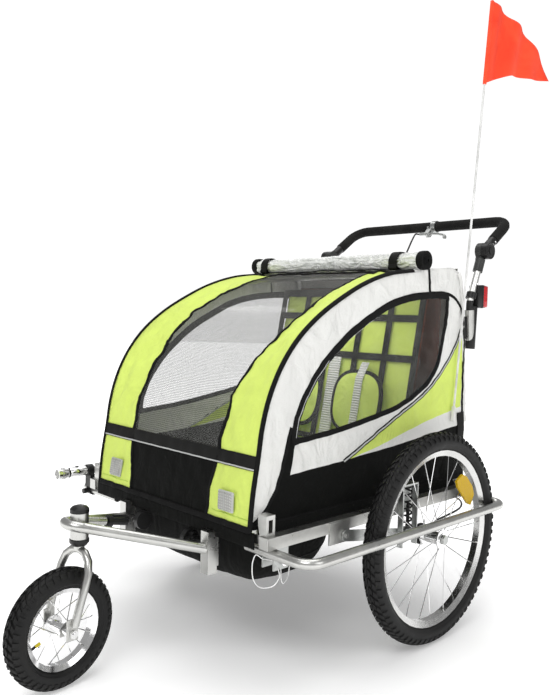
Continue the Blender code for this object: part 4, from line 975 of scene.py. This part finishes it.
def front_cover():
    half, total = 0.2845, COVER.length
    steps = [BAND_TOP + (total - BAND_TOP) * i / 60 for i in range(61)]
    net = [(cover_inner(s), s) for s in steps] + [(-cover_inner(s), s) for s in steps[::-1]]
    low = [(cover_tab(s), s) for s in (0.0, 0.05, 0.1, BAND_TOP)]
    black = low + [(-x, s) for x, s in low[::-1]]
    outline = [(-half, 0), (half, 0), (half, total), (-half, total)]
    sheet = patchwork(
        "front_cover_cloth", outline, [(1, net), (2, black)], 0.0095, cover_place, ["lime", "net", "black"],
        "cover", "green_fabric",
    )
    thicken(sheet, 0.001)
    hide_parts("front_cover")
    parts = []
    for side in (1, -1):
        edge = [cover_place(side * (half + 0.0012), s, 0.0012) for s in np.linspace(0, total, 100)]
        normals = [Vector((side * 0.8, *COVER.normal(s))).normalized() for s in np.linspace(0, total, 100)]
        parts.append(ribbon(f"edge_{side}", edge, normals, 0.0105, 0.0062, "binding", None))
        for name, points, lift, width, thick, look in (
            ("inner", [(cover_inner(s), s) for s in steps], 0.0012, 0.0085, 0.0026, "binding"),
            ("tab", low, 0.0012, 0.0075, 0.0026, "binding"),
            ("stitch", [(0.16, 0.024), (0.276, 0.024)], 0.0008, 0.0016, 0.0012, "lime_dark"),
        ):
            line, normals = on_cover([(side * x, s) for x, s in points], lift)
            parts.append(ribbon(f"{name}_{side}", line, normals, width, thick, look, None))
    for name, s, width, thick, look in (
        ("band", BAND_S, 0.027, 0.004, "webbing"),
        ("stripe", COVER.length_at(0.459), 0.0062, 0.003, "binding"),
        ("tape", COVER.length_at(0.459), 0.0038, 0.0042, "silver_tape"),
        ("hem", 0.005, 0.013, 0.005, "binding"),
        ("top_hem", total - 0.004, 0.012, 0.004, "binding"),
    ):
        line, normals = on_cover([(x, s) for x in np.linspace(-half, half, 24)], 0.0014)
        parts.append(ribbon(name, line, normals, width, thick, look, None))
    trims = merged("front_cover_bindings", parts, "cover", "black_fabric")
    for side, word in SIDES:
        s = COVER.length_at(0.385)
        centre, n = cover_place(side * 0.212, s, 0.005), cover_normal(side * 0.212, s)
        turn = Matrix.Translation(centre) @ Matrix((X, n.cross(X), n)).transposed().to_4x4()
        parts = []
        for name, wide, high, low, top, look, bevel in (
            ("body", 0.0215, 0.0195, -0.003, 0.005, "reflector", 0.0045),
            ("rim", 0.0238, 0.0218, -0.004, 0.002, "silver_tape", 0.003),
            ("line", 0.0009, 0.0195, 0.004, 0.0056, "zinc", 0.0004),
        ):
            corners = (-wide, -high, low), (wide, high, top)
            parts.append(block(f"reflector_{name}_{word}", *corners, look, None, bevel=bevel, turn=turn))
        merged(f"front_reflector_{word}", parts, "cover")


front_cover()

# ---------------------------------------------------------------- side panels

WINDOW = (
    (-0.263, 0.507), (-0.262, 0.53), (-0.254, 0.552), (-0.234, 0.593), (-0.198, 0.639), (-0.154, 0.681),
    (-0.095, 0.724), (-0.025, 0.761), (0.05, 0.795), (0.13, 0.813), (0.198, 0.82), (0.29, 0.825),
    (0.284, 0.778), (0.273, 0.716), (0.253, 0.656), (0.219, 0.615), (0.16, 0.582), (0.094, 0.557),
    (-0.014, 0.536), (-0.14, 0.518),
)
SKIRT = (
    (-0.4, 0.33), (-0.396, 0.346), (-0.372, 0.358), (-0.347, 0.38), (-0.324, 0.41), (-0.309, 0.445),
    (-0.295, 0.498), (-0.281, 0.538), (-0.266, 0.53), (-0.27, 0.5), (-0.281, 0.438), (-0.117, 0.447),
    (0.073, 0.46), (0.334, 0.484), (0.41, 0.49), (0.41, 0.33),
)
SWOOSH_LINE = (
    (-0.112, 0.446), (-0.052, 0.47), (0.016, 0.502), (0.09, 0.534), (0.15, 0.558), (0.205, 0.587),
    (0.248, 0.614), (0.29, 0.653), (0.325, 0.69), (0.347, 0.722), (0.362, 0.756),
)
SWOOSH_REST = (
    (0.372, 0.7), (0.369, 0.6), (0.368, 0.536), (0.249, 0.516), (0.128, 0.492), (0.018, 0.466),
    (-0.076, 0.45),
)
WINDOW_TOP = (
    (-0.268, 0.5), (-0.271, 0.525), (-0.262, 0.556), (-0.241, 0.599), (-0.204, 0.647), (-0.159, 0.69),
    (-0.099, 0.733), (-0.028, 0.771), (0.048, 0.803), (0.13, 0.822), (0.198, 0.829), (0.25, 0.832),
    (0.292, 0.83),
)
WINDOW_ZIP = ((-0.268, 0.515), (-0.262, 0.548), (-0.246, 0.583), (-0.216, 0.628), (-0.17, 0.675))
REAR_EDGE = ((0.338, 0.892), (0.35, 0.868), (0.366, 0.74), (0.382, 0.6), (0.392, 0.492))
REAR_PIPING = (
    (0.225, 0.836), (0.265, 0.838), (0.307, 0.831), (0.34, 0.812), (0.358, 0.785), (0.368, 0.745),
    (0.373, 0.661), (0.374, 0.56), (0.378, 0.492),
)


def side_panel(side, word):
    outline = [(y, max(z, 0.34)) for y, z in flat_line(COVER_LINE + ROOF_LINE + SIDE_BACK, 0.02)]
    window = flat_line(WINDOW[:12], 0.012)[:-1] + flat_line(WINDOW[11:] + WINDOW[:1], 0.012)[:-1]
    swoosh = flat_line(SWOOSH_LINE, 0.012) + list(SWOOSH_REST)

    def place(y, z, lift=0.0):
        film = inside(WINDOW, np.array([(y, z)]))[0]
        depth = 0.0007 if film else 0.0026
        fold = wrinkle(y * 0.8 + z * 0.6, z, y * 0.5, 26.0, 5.0 + side) + 0.6 * wrinkle(y, z, 0, 70.0, 2.0)
        sewn = min(1.0, float(np.min(np.hypot(COVER.yz[:, 0] - y, COVER.yz[:, 1] - z))) / 0.018)
        return Vector((side * (0.2862 + 0.002 * sewn + depth * fold * sewn + lift), y, z))

    sheet = patchwork(
        f"side_cloth_{word}", outline, [(3, SKIRT), (2, swoosh), (1, window)], 0.0095, place,
        ["white", "film", "lime", "black"], "frame", "white_fabric",
    )
    thicken(sheet, 0.001, 0.0)
    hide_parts(f"side_panel_{word}")

    def tape(name, points, width, thick, look="binding", lift=0.0008):
        line = [place(y, z, lift) for y, z in flat_line(points, 0.01)]
        return ribbon(name, line, side * X, width, thick, look, None)

    parts = [
        tape("window_top", WINDOW_TOP, 0.019, 0.0056, lift=0.0),
        tape("window_zip", WINDOW_ZIP, 0.0018, 0.0056, "silver_tape"),
        tape("window_low", WINDOW[11:] + WINDOW[:1], 0.0125, 0.0056, lift=0.0),
        tape("rear_piping", REAR_PIPING, 0.0075, 0.0045),
        tape("swoosh_edge", SWOOSH_LINE, 0.0105, 0.0026),
        tape("swoosh_tape", SWOOSH_LINE, 0.0044, 0.0042, "silver_tape"),
        tape("leg_edge", ((-0.386, 0.349), *SKIRT[2:8]), 0.009, 0.0034),
        tape("seam", ((0.198, 0.896), (0.203, 0.862), (0.206, 0.834)), 0.0085, 0.004),
        tape("panel_hem", ((-0.385, 0.345), (-0.2, 0.344), (0.1, 0.344), (0.388, 0.346)), 0.011, 0.004),
        tape("rear_edge", REAR_EDGE, 0.013, 0.0026, "white"),
        tape("rear_tab", ((0.3665, 0.52), (0.372, 0.44)), 0.033, 0.0044, "webbing", 0.0014),
    ]
    trims = merged(f"side_bindings_{word}", parts, "frame", "black_fabric")


for SIDE, WORD in SIDES:
    side_panel(SIDE, WORD)

# ---------------------------------------------------------------- roof and back

BACK = Profile(ROOF_LINE + REAR_LINE)


def rear_panel():
    total, half = BACK.length, 0.2878
    side_z = [z for _, z in SIDE_BACK][::-1]
    side_y = [y for y, _ in SIDE_BACK][::-1]

    def place(x, s, lift=0.0):
        y, z = BACK.point(s)
        ny, nz = BACK.normal(s)
        t = min(1.0, max(0.0, (abs(x) - 0.222) / (half - 0.222)))
        turn = 1.0 - math.sqrt(max(0.0, 1.0 - t * t))
        edge_y = float(np.interp(z, side_z, side_y))
        if y > 0.3:
            ease = min(1.0, (y - 0.3) / 0.06)
            y -= max(0.0, y - edge_y) * turn * ease
        roof = max(0.0, min(1.0, (0.33 - y) / 0.1))
        z -= 0.006 * t**3 * roof
        fold = wrinkle(x, y * 0.6, z, 14.0, 9.0) * 0.004 + wrinkle(x, y, z, 50.0, 4.0) * 0.0012
        out = (fold + 0.004 * (1 - (x / 0.29) ** 2)) * (1 - t**4) + lift
        return Vector((x, y + ny * out, z + nz * out))

    low_s, top_s, end_s = (BACK.fallen_to(z) for z in (0.487, 0.8, 0.61))
    black = [(-half, low_s), (half, low_s), (half, total), (-half, total)]
    vent = [
        (-0.165, top_s), (-0.15, top_s - 0.012), (0.15, top_s - 0.012), (0.165, top_s), (0.14, end_s),
        (0.125, end_s + 0.012), (-0.125, end_s + 0.012), (-0.14, end_s),
    ]
    outline = [(-half, 0), (half, 0), (half, total), (-half, total)]
    sheet = patchwork(
        "rear_cloth", outline, [(2, black), (1, vent)], 0.0105, place, ["white", "net", "black"],
        "frame", "white_fabric",
    )
    thicken(sheet, 0.001)
    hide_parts("rear_panel")

    def normal(x, s):
        return (place(x + 0.003, s) - place(x - 0.003, s)).cross(place(x, s + 0.004) - place(x, s - 0.004))

    def tape(name, points, width, thick, look="binding", closed=False):
        flat = flat_line(points, 0.01)[: -1 if closed else None]
        line, normals = [place(x, s, 0.0012) for x, s in flat], [normal(x, s) for x, s in flat]
        return ribbon(name, line, normals, width, thick, look, None, closed=closed)

    def level(name, s, wide, width, thick, look="binding"):
        return tape(name, [(-wide, s), (0, s), (wide, s)], width, thick, look)

    parts = [
        tape("vent_binding", vent + vent[:1], 0.011, 0.003, closed=True),
        level("skirt_binding", low_s, half, 0.01, 0.003),
        level("roof_front_hem", 0.003, half, 0.012, 0.003),
        level("back_hem", total - 0.006, half, 0.012, 0.003),
        level("back_seam", 0.205, half - 0.004, 0.0035, 0.002, "white"),
    ]
    trims = merged("rear_bindings", parts, "frame", "black_fabric")


rear_panel()

# ---------------------------------------------------------------- tub and lining


def tub():
    """The black floor and footwell, hanging between the rails as one soft trough."""
    line = Profile(
        (
            (-0.3455, 0.339), (-0.345, 0.285), (-0.34, 0.23), (-0.322, 0.1975), (-0.275, 0.189),
            (-0.21, 0.188), (-0.155, 0.1935), (-0.13, 0.22), (-0.122, 0.27), (-0.11, 0.308), (-0.05, 0.315),
            (0.15, 0.314), (0.3, 0.315), (0.33, 0.323), (0.335, 0.339),
        )
    )

    def place(u, s):
        y, z = line.point(s)
        x = 0.2615 * u
        round_off = max(0.0, 1.0 - abs(u) ** 9) ** (1 / 3.2)
        depth = (0.3395 - z) * round_off
        fold = wrinkle(x, y, z, 13.0, 6.0) * 0.0045 + wrinkle(x, y, z, 45.0, 1.0) * 0.0012
        return x, y, 0.3395 - depth + fold * round_off * min(1.0, depth / 0.05)

    rows, columns = 110, 56
    verts = []
    for j in range(rows + 1):
        for i in range(columns + 1):
            u = -1 + 2 * i / columns
            verts.append(place(math.copysign(1 - (1 - abs(u)) ** 1.8, u), line.length * j / rows))
    shell = piece("tub_cloth", verts, net_faces(rows + 1, columns + 1), "black", "frame", "black_fabric")
    thicken(shell, 0.0016, 0.0)
    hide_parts("tub")
    parts = []
    for side in (1, -1):
        seam = [place(side * 0.965, s) for s in np.linspace(0.03, 0.42, 50)]
        parts.append(ribbon(f"seam_{side}", seam, side * X - 0.6 * Z, 0.006, 0.0034, "binding", None))
        rail_edge = [(side * 0.2625, y, 0.3385) for y in np.linspace(-0.343, 0.333, 40)]
        parts.append(ribbon(f"rim_{side}", rail_edge, side * X, 0.01, 0.003, "binding", None))
    merged("tub_seams", parts, "frame", "black_fabric")


def apron(name, outline, place):
    """Black cloth that covers a rail of the frame."""
    cloth = patchwork(name, outline, [], 0.008, place, ["black"], "frame", "black_fabric")
    thicken(cloth, 0.0008, 0.0)


def aprons():
    for side, word in SIDES:
        def hang(y, w, side=side):
            fold = 0.0008 * wrinkle(y, w, 0, 40.0, side)
            return Vector((side * (0.2893 + 0.62 * w + fold), y, 0.347 - w * 0.85))

        strip = [(-0.33, 0.0), (0.335, 0.0), (0.335, 0.032), (-0.33, 0.032)]
        apron(f"side_apron_{word}", strip, hang)
    edge = [(0.298, 0.335), (0.298, 0.303), (0.175, 0.303), (0.175, 0.3125), (0.141, 0.3125), (0.141, 0.303)]
    strip = [(-0.298, 0.335), *edge, *((-x, z) for x, z in edge[:0:-1])]

    def place(x, z):
        return Vector((x, -0.388 - 0.001 * wrinkle(x, z, 0, 30.0, 3.0), z))

    apron("front_apron", strip, place)


def luggage_curtain():
    verts, count = [], 25
    for j in range(count):
        for i in range(count):
            x, z = -0.258 + 0.516 * i / (count - 1), 0.42 + 0.435 * j / (count - 1)
            verts.append((x, 0.293 + 0.03 * (z - 0.42) + 0.004 * wrinkle(x, 0, z, 18.0, 2.0), z))
    curtain = piece("luggage_curtain", verts, net_faces(count, count), "brown", "frame", "black_fabric")
    thicken(curtain, 0.001)


tub()
aprons()
luggage_curtain()

# ---------------------------------------------------------------- seat, backrest and harness


def back_point(x, z, out=0.0):
    return Vector((x, 0.153 + (z - 0.406) * 0.2 - out * 0.98, z + out * 0.196))


BACK_NORMAL = Vector((0, -0.98, 0.196))


def pad_edge(c, s, share=1.0):
    """A point of a harness pad's rounded outline, shrunk to this share."""
    px, pz = (math.copysign(abs(v) ** 0.72, v) * share for v in (c, s))
    return px * 0.08, -pz * 0.082


def harness_pad(word, place, seed):
    rings, steps = 14, 56
    verts = []
    for face in (1, -1):
        for r in range(rings + 1):
            share = math.sin(math.pi / 2 * r / rings)
            for _, c, s in circle(steps):
                px, pz = pad_edge(c, s, share)
                crumple = 0.0009 * wrinkle(px, -pz, seed, 45.0, 7.0) * (1 - share)
                puff = 0.0095 * (1 - share**4) ** 0.5 + crumple
                verts.append(place @ Vector((px, pz, face * puff)))
    faces = [f[::-1] for f in round_faces(rings + 1, steps)]
    faces += round_faces(rings + 1, steps, first=(rings + 1) * steps)
    pad = piece(f"harness_pad_{word}", verts, faces, "lime", "frame", "green_fabric")
    remade(pad, 1e-5)


def seats():
    corners = (-0.25, -0.04, 0.361), (0.25, 0.145, 0.4)
    seat = block("seat_cushion", *corners, "lime_dark", "frame", bevel=0.01)
    swollen(seat, cap=0.009)
    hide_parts("seat")
    lean = math.atan(0.2)
    turn = Matrix.Translation((0, 0.153 + 0.013, 0.406)) @ Matrix.Rotation(-lean, 4, "X")
    corners = (-0.256, -0.007, 0.005), (0.256, 0.01, 0.442)
    back = block("backrest_pad", *corners, "lime", "frame", bevel=0.005, turn=turn)
    swollen(back, cap=0.004)
    back.data.materials.append(MAT["brown"])
    for face in back.data.polygons:
        face.material_index = int(face.normal.y > -0.45)
    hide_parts("backrest")
    parts = []
    for i, x in enumerate((-0.253, -0.155, -0.055, 0.055, 0.155, 0.253)):
        line = [back_point(x, z, 0.004) for z in np.linspace(0.415, 0.838, 40)]
        parts.append(ribbon(f"upright_{i}", line, BACK_NORMAL, 0.02, 0.0024, "webbing", None))
    for i, (z, width) in enumerate(((0.835, 0.022), (0.768, 0.02), (0.663, 0.02), (0.43, 0.016))):
        line = [back_point(x, z, 0.0055) for x in np.linspace(-0.258, 0.258, 40)]
        parts.append(ribbon(f"level_{i}", line, BACK_NORMAL, width, 0.0024, "webbing", None))
    merged("backrest_webbing", parts, "frame", "black_fabric")
    turn = Matrix((X, BACK_NORMAL.cross(X), BACK_NORMAL)).transposed().to_4x4()
    for word, centre in (("left", 0.097), ("right", -0.118)):
        place = Matrix.Translation(back_point(centre, 0.538, 0.02)) @ turn
        harness_pad(word, place, centre)
        rim = [place @ Vector((*pad_edge(c, s), 0)) for _, c, s in circle(72)]
        cloth = "frame", "black_fabric"
        ribbon(f"harness_binding_{word}", rim, BACK_NORMAL, 0.012, 0.01, "binding", *cloth, closed=True)
        rise = np.linspace(0.47, 0.645, 30)
        strap = [back_point(centre + 0.008, z, 0.0325 - 0.02 * max(0, z - 0.6) / 0.05) for z in rise]
        ribbon(f"shoulder_strap_{word}", strap, BACK_NORMAL, 0.026, 0.003, "ribbed", *cloth)
    middle = [back_point(-0.006, z, 0.012) for z in np.linspace(0.44, 0.655, 30)]
    ribbon("middle_strap", middle, BACK_NORMAL, 0.042, 0.003, "ribbed", "frame", "black_fabric")


seats()

# ---------------------------------------------------------------- rolled rain cover


ROLL_Y, ROLL_Z = 0.161, 0.9145


def rain_roll():
    steps, rows = 64, 260
    verts = []
    for j in range(rows + 1):
        x = -0.29 + 0.58 * j / rows
        centre_z = 0.914 + 0.0015 * wrinkle(x, 0, 0, 9.0, 2.0)
        tie = min(abs(x - 0.222), abs(x + 0.252))
        pinch = 1.0 - 0.12 * math.exp(-((tie / 0.014) ** 2))
        for a, c, s in circle(steps):
            crease = abs(wrinkle(x * 0.3, c * 0.022, s * 0.022, 130.0, 3.0)) * 0.0065
            crease += abs(wrinkle(x * 0.6, c * 0.022, s * 0.022, 260.0, 9.0)) * 0.0028
            lap = 0.0022 * ((a / (2 * math.pi) + 0.15 * math.sin(x * 7)) % 1.0)
            r = (0.0218 - crease + lap) * pinch
            verts.append((x, ROLL_Y + r * c * 1.03, centre_z + r * s * 0.97))
    faces = [*round_faces(rows + 1, steps), first_cap(steps), last_cap(rows + 1, steps)]
    film = piece("rolled_rain_cover", verts, faces, "roll", "frame", "clear_film")
    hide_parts("rain_roll")
    wrap = [(0.0195, -0.006), (0.0232, -0.006), (0.024, 0.002), (0.0236, 0.012), (0.0212, 0.012)]
    parts = []
    for side in (1, -1):
        coil, count = [], 140
        for k in range(count):
            a, r, x = k * 0.21, 0.0195 - 0.00011 * k, side * (0.299 + 0.004 * (k / count))
            coil.append((x, ROLL_Y + r * math.cos(a), ROLL_Z + r * math.sin(a)))
        parts.append(ribbon(f"coil_{side}", coil, side * X, 0.0035, 0.018, "binding", None))
        centre = side * 0.296, ROLL_Y, ROLL_Z
        parts.append(lathe(f"wrap_{side}", wrap, 40, "binding", None, centre, side * X))
    for i, x in enumerate((0.222, -0.252)):
        loop = []
        for a, c, s in circle(48):
            r = 0.0238 + 0.001 * math.cos(2 * a)
            loop.append((x + 0.0015 * math.sin(3 * a), ROLL_Y + r * c, ROLL_Z + r * s))
        normals = [Vector((0, p[1] - ROLL_Y, p[2] - ROLL_Z)) for p in loop]
        parts.append(ribbon(f"tie_{i}", loop, normals, 0.027, 0.003, "webbing", None, closed=True))
        foot = smooth_line([(x, 0.1385, 0.91), (x, 0.134, 0.896), (x, 0.15, 0.89)], 0.005)
        parts.append(ribbon(f"tie_foot_{i}", foot, (0, -1, 0.2), 0.027, 0.0024, "webbing", None))
    merged("rain_cover_ties", parts, "frame", "black_fabric")


rain_roll()

# ---------------------------------------------------------------- flag


def flag():
    tip = (0.774, 1.4903)
    outline = flat_line([(0.4396, 1.627), (0.515, 1.617), (0.5935, 1.5995), (0.7103, 1.5562), tip], 0.015)
    outline += flat_line([tip, (0.6489, 1.468), (0.5537, 1.455), (0.417, 1.4045)], 0.015)[1:]

    def pole(low, high, count):
        """Points on the leaning rod."""
        return [(0.298, 0.317 + 0.1087 * (z - 0.5), z) for z in np.linspace(low, high, count)]

    pole_y = pole(1.5, 1.5, 1)[0][1]

    def place(y, z):
        away = max(0.0, y - pole_y)
        folds = 0.0095 * math.sin(away * 52.0 + (1.6 - z) * 16.0)
        folds *= min(1.0, away / 0.06) * math.exp(-away * 3.0)
        folds += 0.004 * wrinkle(y * 1.4, z * 0.5, 0, 12.0, 4.0) * min(1.0, away / 0.1)
        return Vector((0.298 + folds, y, z))

    sheet = patchwork("flag_cloth", outline, [], 0.0085, place, ["flag"], "frame", "orange_red_fabric")
    thicken(sheet, 0.0006, 0.0)
    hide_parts("flag")
    sleeve = pole(1.401, 1.6265, 24)
    hem = ribbon("flag_sleeve", sleeve, X, 0.0098, 0.0086, "flag", "frame", "orange_red_fabric", sides=12)
    pocket = pole(0.5, 0.54, 12)
    ribbon("pole_pocket", pocket, X, 0.0096, 0.0096, "white", "frame", "white_fabric", sides=12)


flag()

# ---------------------------------------------------------------- handle, brake and lamps


def brake_cable():
    route = (
        (-0.01, 0.58, 1.0335), (-0.016, 0.577, 1.0341), (-0.012, 0.56, 1.032), (-0.0034, 0.53, 1.0094),
        (0.003, 0.5, 0.976), (0.012, 0.465, 0.945), (0.018, 0.435, 0.9), (0.02, 0.419, 0.84),
        (0.018, 0.418, 0.76), (0.016, 0.418, 0.65), (0.02, 0.413, 0.5), (0.05, 0.406, 0.4),
        (0.11, 0.4, 0.33), (0.2, 0.396, 0.292), (0.28, 0.385, 0.28), (0.33, 0.32, 0.278),
        (0.35, 0.22, 0.276), (0.351, 0.18, 0.2725), (0.3506, 0.1465, 0.26),
    )
    line = smooth_line(route, 0.008)
    look = "black_plastic"
    cable = ribbon("brake_cable_housing", line, (0.3, 0.5, 0.8), 0.0048, 0.0048, look, None, look, sides=10)
    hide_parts("brake_cable")
    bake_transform(cable)


brake_cable()


def rings(name, body, centre, axis, sizes, material="black_plastic", slot="black_plastic"):
    """Raised rings on a round face, as (outer radius, inner radius, height) each."""
    parts = []
    for i, (outer, inner, height) in enumerate(sizes):
        edge = 0.0005 if inner > 0 else 0.0006
        profile = [(inner, -0.0005), (outer, -0.0005), (outer, height * 0.6), (outer - edge, height)]
        profile += [(inner + edge, height), (inner, height * 0.6)] if inner > 0 else [(0.0, height)]
        parts.append(lathe(f"{name}_{i}", profile, 40, material, None, centre, axis))
    return merged(name, parts, body, slot)


JOINT_Y, JOINT_Z = 0.467, 0.96
TORCH_X, TORCH_Z = -0.358, 0.3515


def post_fittings(side, word):
    """Rings, rivets, button, black sleeve and boot on and under a handle joint."""
    joint = Vector((side * 0.3051, JOINT_Y, JOINT_Z))
    rings(f"joint_rings_{word}", "handle", joint, side * X, ((0.0225, 0.02, 0.001), (0.0165, 0.0135, 0.0012)))
    rivet = [(0.0, 0.0018), (0.0016, 0.0014), (0.0026, 0.0002), (0.0027, -0.001), (0.0, -0.001)]
    way = Vector((0, 0.605 - JOINT_Y, 1.057 - JOINT_Z)).normalized()
    for i, distance in enumerate((0.035, 0.05)):
        place = Vector((side * 0.283, JOINT_Y, JOINT_Z)) + way * distance + side * X * 0.013
        lathe(f"sleeve_rivet_{word}_{i}", rivet, 16, "chrome", "handle", place, side * X)
    foot, top = Vector((side * 0.28, 0.4178, 0.69)), Vector((side * 0.28, 0.4249, 0.806))
    length = (top - foot).length
    sleeve = [(0.01, length), (0.0128, length), (0.0138, length - 0.003)]
    sleeve += [(0.0143, 0.004), (0.0137, 0.0), (0.01, 0.0)]
    lathe(f"post_sleeve_{word}", sleeve, 36, "black_plastic", "frame", foot, top - foot, "black_plastic")
    low, high = sorted((side * 0.2714, side * 0.2778))
    corners = (low, 0.35, 0.717), (high, 0.411, 0.778)
    block(f"gusset_boot_{word}", *corners, "black_plastic", "frame", "black_plastic", 0.0015)
    down = Vector((0, -0.372, -0.928)).normalized()
    place = Vector((side * 0.28, JOINT_Y, JOINT_Z)) + down * 0.1 + side * X * 0.0098
    button = [(0.0, 0.0026), (0.0022, 0.002), (0.0032, 0.0), (0.0, -0.0006)]
    lathe(f"post_button_{word}", button, 16, "chrome", "frame", place, side * X)


def lamps():
    corners = (0.2628, 0.452, 0.8042), (0.2972, 0.4765, 0.8638)
    lens = block("tail_lens", *corners, "red_lens", None, bevel=0.004)
    corners = (0.2624, 0.4475, 0.8022), (0.2976, 0.4545, 0.8658)
    edge = block("tail_lens_rim", *corners, "black_plastic", None, bevel=0.002)
    merged("tail_lamp_lens", [lens, edge], "frame")
    glass = [(0.0, 0.0012), (0.0095, 0.0008), (0.0112, -0.001), (0.0112, -0.003), (0.0, -0.003)]
    lathe("torch_glass", glass, 32, "reflector", "frame", (TORCH_X, -0.469, TORCH_Z), -Y)


def torch_rings():
    parts = []
    for i, (y, r, wide, look) in enumerate((
        (-0.44, 0.0132, 0.004, "black_plastic"),
        (-0.383, 0.0131, 0.0016, "bolt"),
        (-0.379, 0.0131, 0.0016, "bolt"),
        (-0.46, 0.0147, 0.0014, "bolt"),
        (-0.456, 0.0147, 0.0014, "bolt"),
        (-0.452, 0.0147, 0.0014, "bolt"),
    )):
        band = [(r - 0.0012, -wide / 2), (r, -wide / 2), (r, wide / 2), (r - 0.0012, wide / 2)]
        parts.append(lathe(f"torch_ring_{i}", band, 36, look, None, (TORCH_X, y, TORCH_Z), Y))
    merged("torch_rings", parts, "frame")


def wheel_fittings(side, word):
    """Seal and nut of a rear hub, and what shows inside its suspension spring."""
    hub = Vector((side * 0.4125, REAR_Y, REAR_RADIUS))
    rings(f"hub_seal_{word}", f"wheel_{word}", hub, side * X, ((0.0108, 0.0062, 0.001),))
    rings(f"hub_nut_{word}", f"wheel_{word}", hub, side * X, ((0.0052, 0.0, 0.004),), "bolt", "chrome")
    x, y = side * 0.3525, 0.052
    core = [(0.0, 0.2815), (0.0052, 0.2815), (0.0052, 0.286), (0.0042, 0.288)]
    core += [(0.0042, 0.332), (0.0034, 0.335), (0.0, 0.335)]
    lathe(f"bump_stop_{word}", core, 24, "black_plastic", f"arm_{word}", (x, y, 0.0), Z, "black_plastic")
    coil, steps, turns, radius = [], 16, 6, 0.0085
    for k in range(steps * turns + 1):
        a, z = 2 * math.pi * k / steps, 0.2812 + 0.096 * k / (steps * turns)
        coil.append((x + radius * math.cos(a), y + radius * math.sin(a), z))
    spring = ribbon(
        f"suspension_coil_{word}", coil, Z, 0.004, 0.004, "black_plastic", "frame", "black_plastic", sides=12
    )
    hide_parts(f"coil_spring_{word}")
    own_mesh(spring)


for SIDE, WORD in SIDES:
    post_fittings(SIDE, WORD)
lamps()
for SIDE, WORD in SIDES:
    wheel_fittings(SIDE, WORD)
torch_rings()

# ---------------------------------------------------------------- floor, backdrop and lights


def floor_material():
    """Pale studio floor that glows as painted light: faintly near the trailer, which lightens its cast
    shadow, and more far away, like a white sweep so that no horizon shows.
    """
    g = Graph("pale_floor")
    away = g.new("ShaderNodeVectorMath", operation="LENGTH")
    g.put(g.place, away.inputs[0])
    # Painted light: emission lifts the shadow near the trailer and whitens the floor further out.
    near = g.spread(away.outputs["Value"], 0.25, 0.95, 0.16, 0.52)
    painted_floor_glow = g.maths("ADD", near, g.spread(away.outputs["Value"], 1.0, 2.6, 0.0, 0.5))
    base = g.mix(g.noise(1.5, 2.0), (0.9, 0.9, 0.9), (0.94, 0.94, 0.94))
    return g.finish(
        Base_Color=base, Roughness=0.9, Specular_IOR_Level=0.1, Emission_Color=(1.0, 1.0, 1.0),
        Emission_Strength=painted_floor_glow,
    )


def floor_disc():
    rows, steps, radius = 30, 64, 16.0
    verts = [(0, 0, 0)]
    for j in range(1, rows + 1):
        r = radius * (j / rows) ** 2
        verts += [(r * c, r * s, 0) for _, c, s in circle(steps)]
    faces = [(0, 1 + k, 1 + (k + 1) % steps) for k in range(steps)]
    faces += [f[::-1] for f in round_faces(rows, steps, first=1)]
    mesh = bpy.data.meshes.new("floor")
    mesh.from_pydata(verts, [], faces)
    mesh.materials.append(floor_material())
    link("floor", mesh)


def lights():
    for name, place, aim, power, wide, high in (
        ("key", (1.2, -2.4, 2.9), (0, 0, 0.5), 46, 2.0, 1.4),
        ("fill", (3.0, 0.2, 1.9), (0, 0, 0.5), 17, 1.6, 1.6),
        ("top", (-0.3, 0.3, 3.6), (0, 0, 0.4), 52, 2.6, 2.6),
        ("back", (-2.4, 1.8, 2.0), (0, 0, 0.6), 18, 1.6, 1.6),
        ("through_roof", (0.0, 0.0, 0.82), (0, 0.12, 0.4), 0.55, 0.36, 0.26),
    ):
        data = bpy.data.lights.new(name, "AREA")
        data.shape = "RECTANGLE"
        data.energy, data.size, data.size_y = power, wide, high
        lamp = link(name, data)
        lamp.location = place
        lamp.visible_camera = name != "through_roof"
        lamp.rotation_mode = "QUATERNION"
        lamp.rotation_quaternion = (Vector(aim) - Vector(place)).to_track_quat("-Z", "Y")


def backdrop():
    """White backdrop. It lights the trailer less than the camera sees of it."""
    world = bpy.data.worlds.new("studio")
    world.use_nodes = True
    tree = world.node_tree
    seen = tree.nodes.new("ShaderNodeLightPath").outputs["Is Camera Ray"]
    strength = tree.nodes.new("ShaderNodeMapRange")
    strength.inputs["To Min"].default_value = 0.38
    strength.inputs["To Max"].default_value = 1.05
    tree.links.new(seen, strength.inputs["Value"])
    tree.links.new(strength.outputs[0], tree.nodes["Background"].inputs["Strength"])
    tree.nodes["Background"].inputs["Color"].default_value = (1.0, 1.0, 1.0, 1.0)
    bpy.context.scene.world = world
    bpy.context.scene.view_settings.view_transform = "Standard"


floor_disc()
lights()
backdrop()
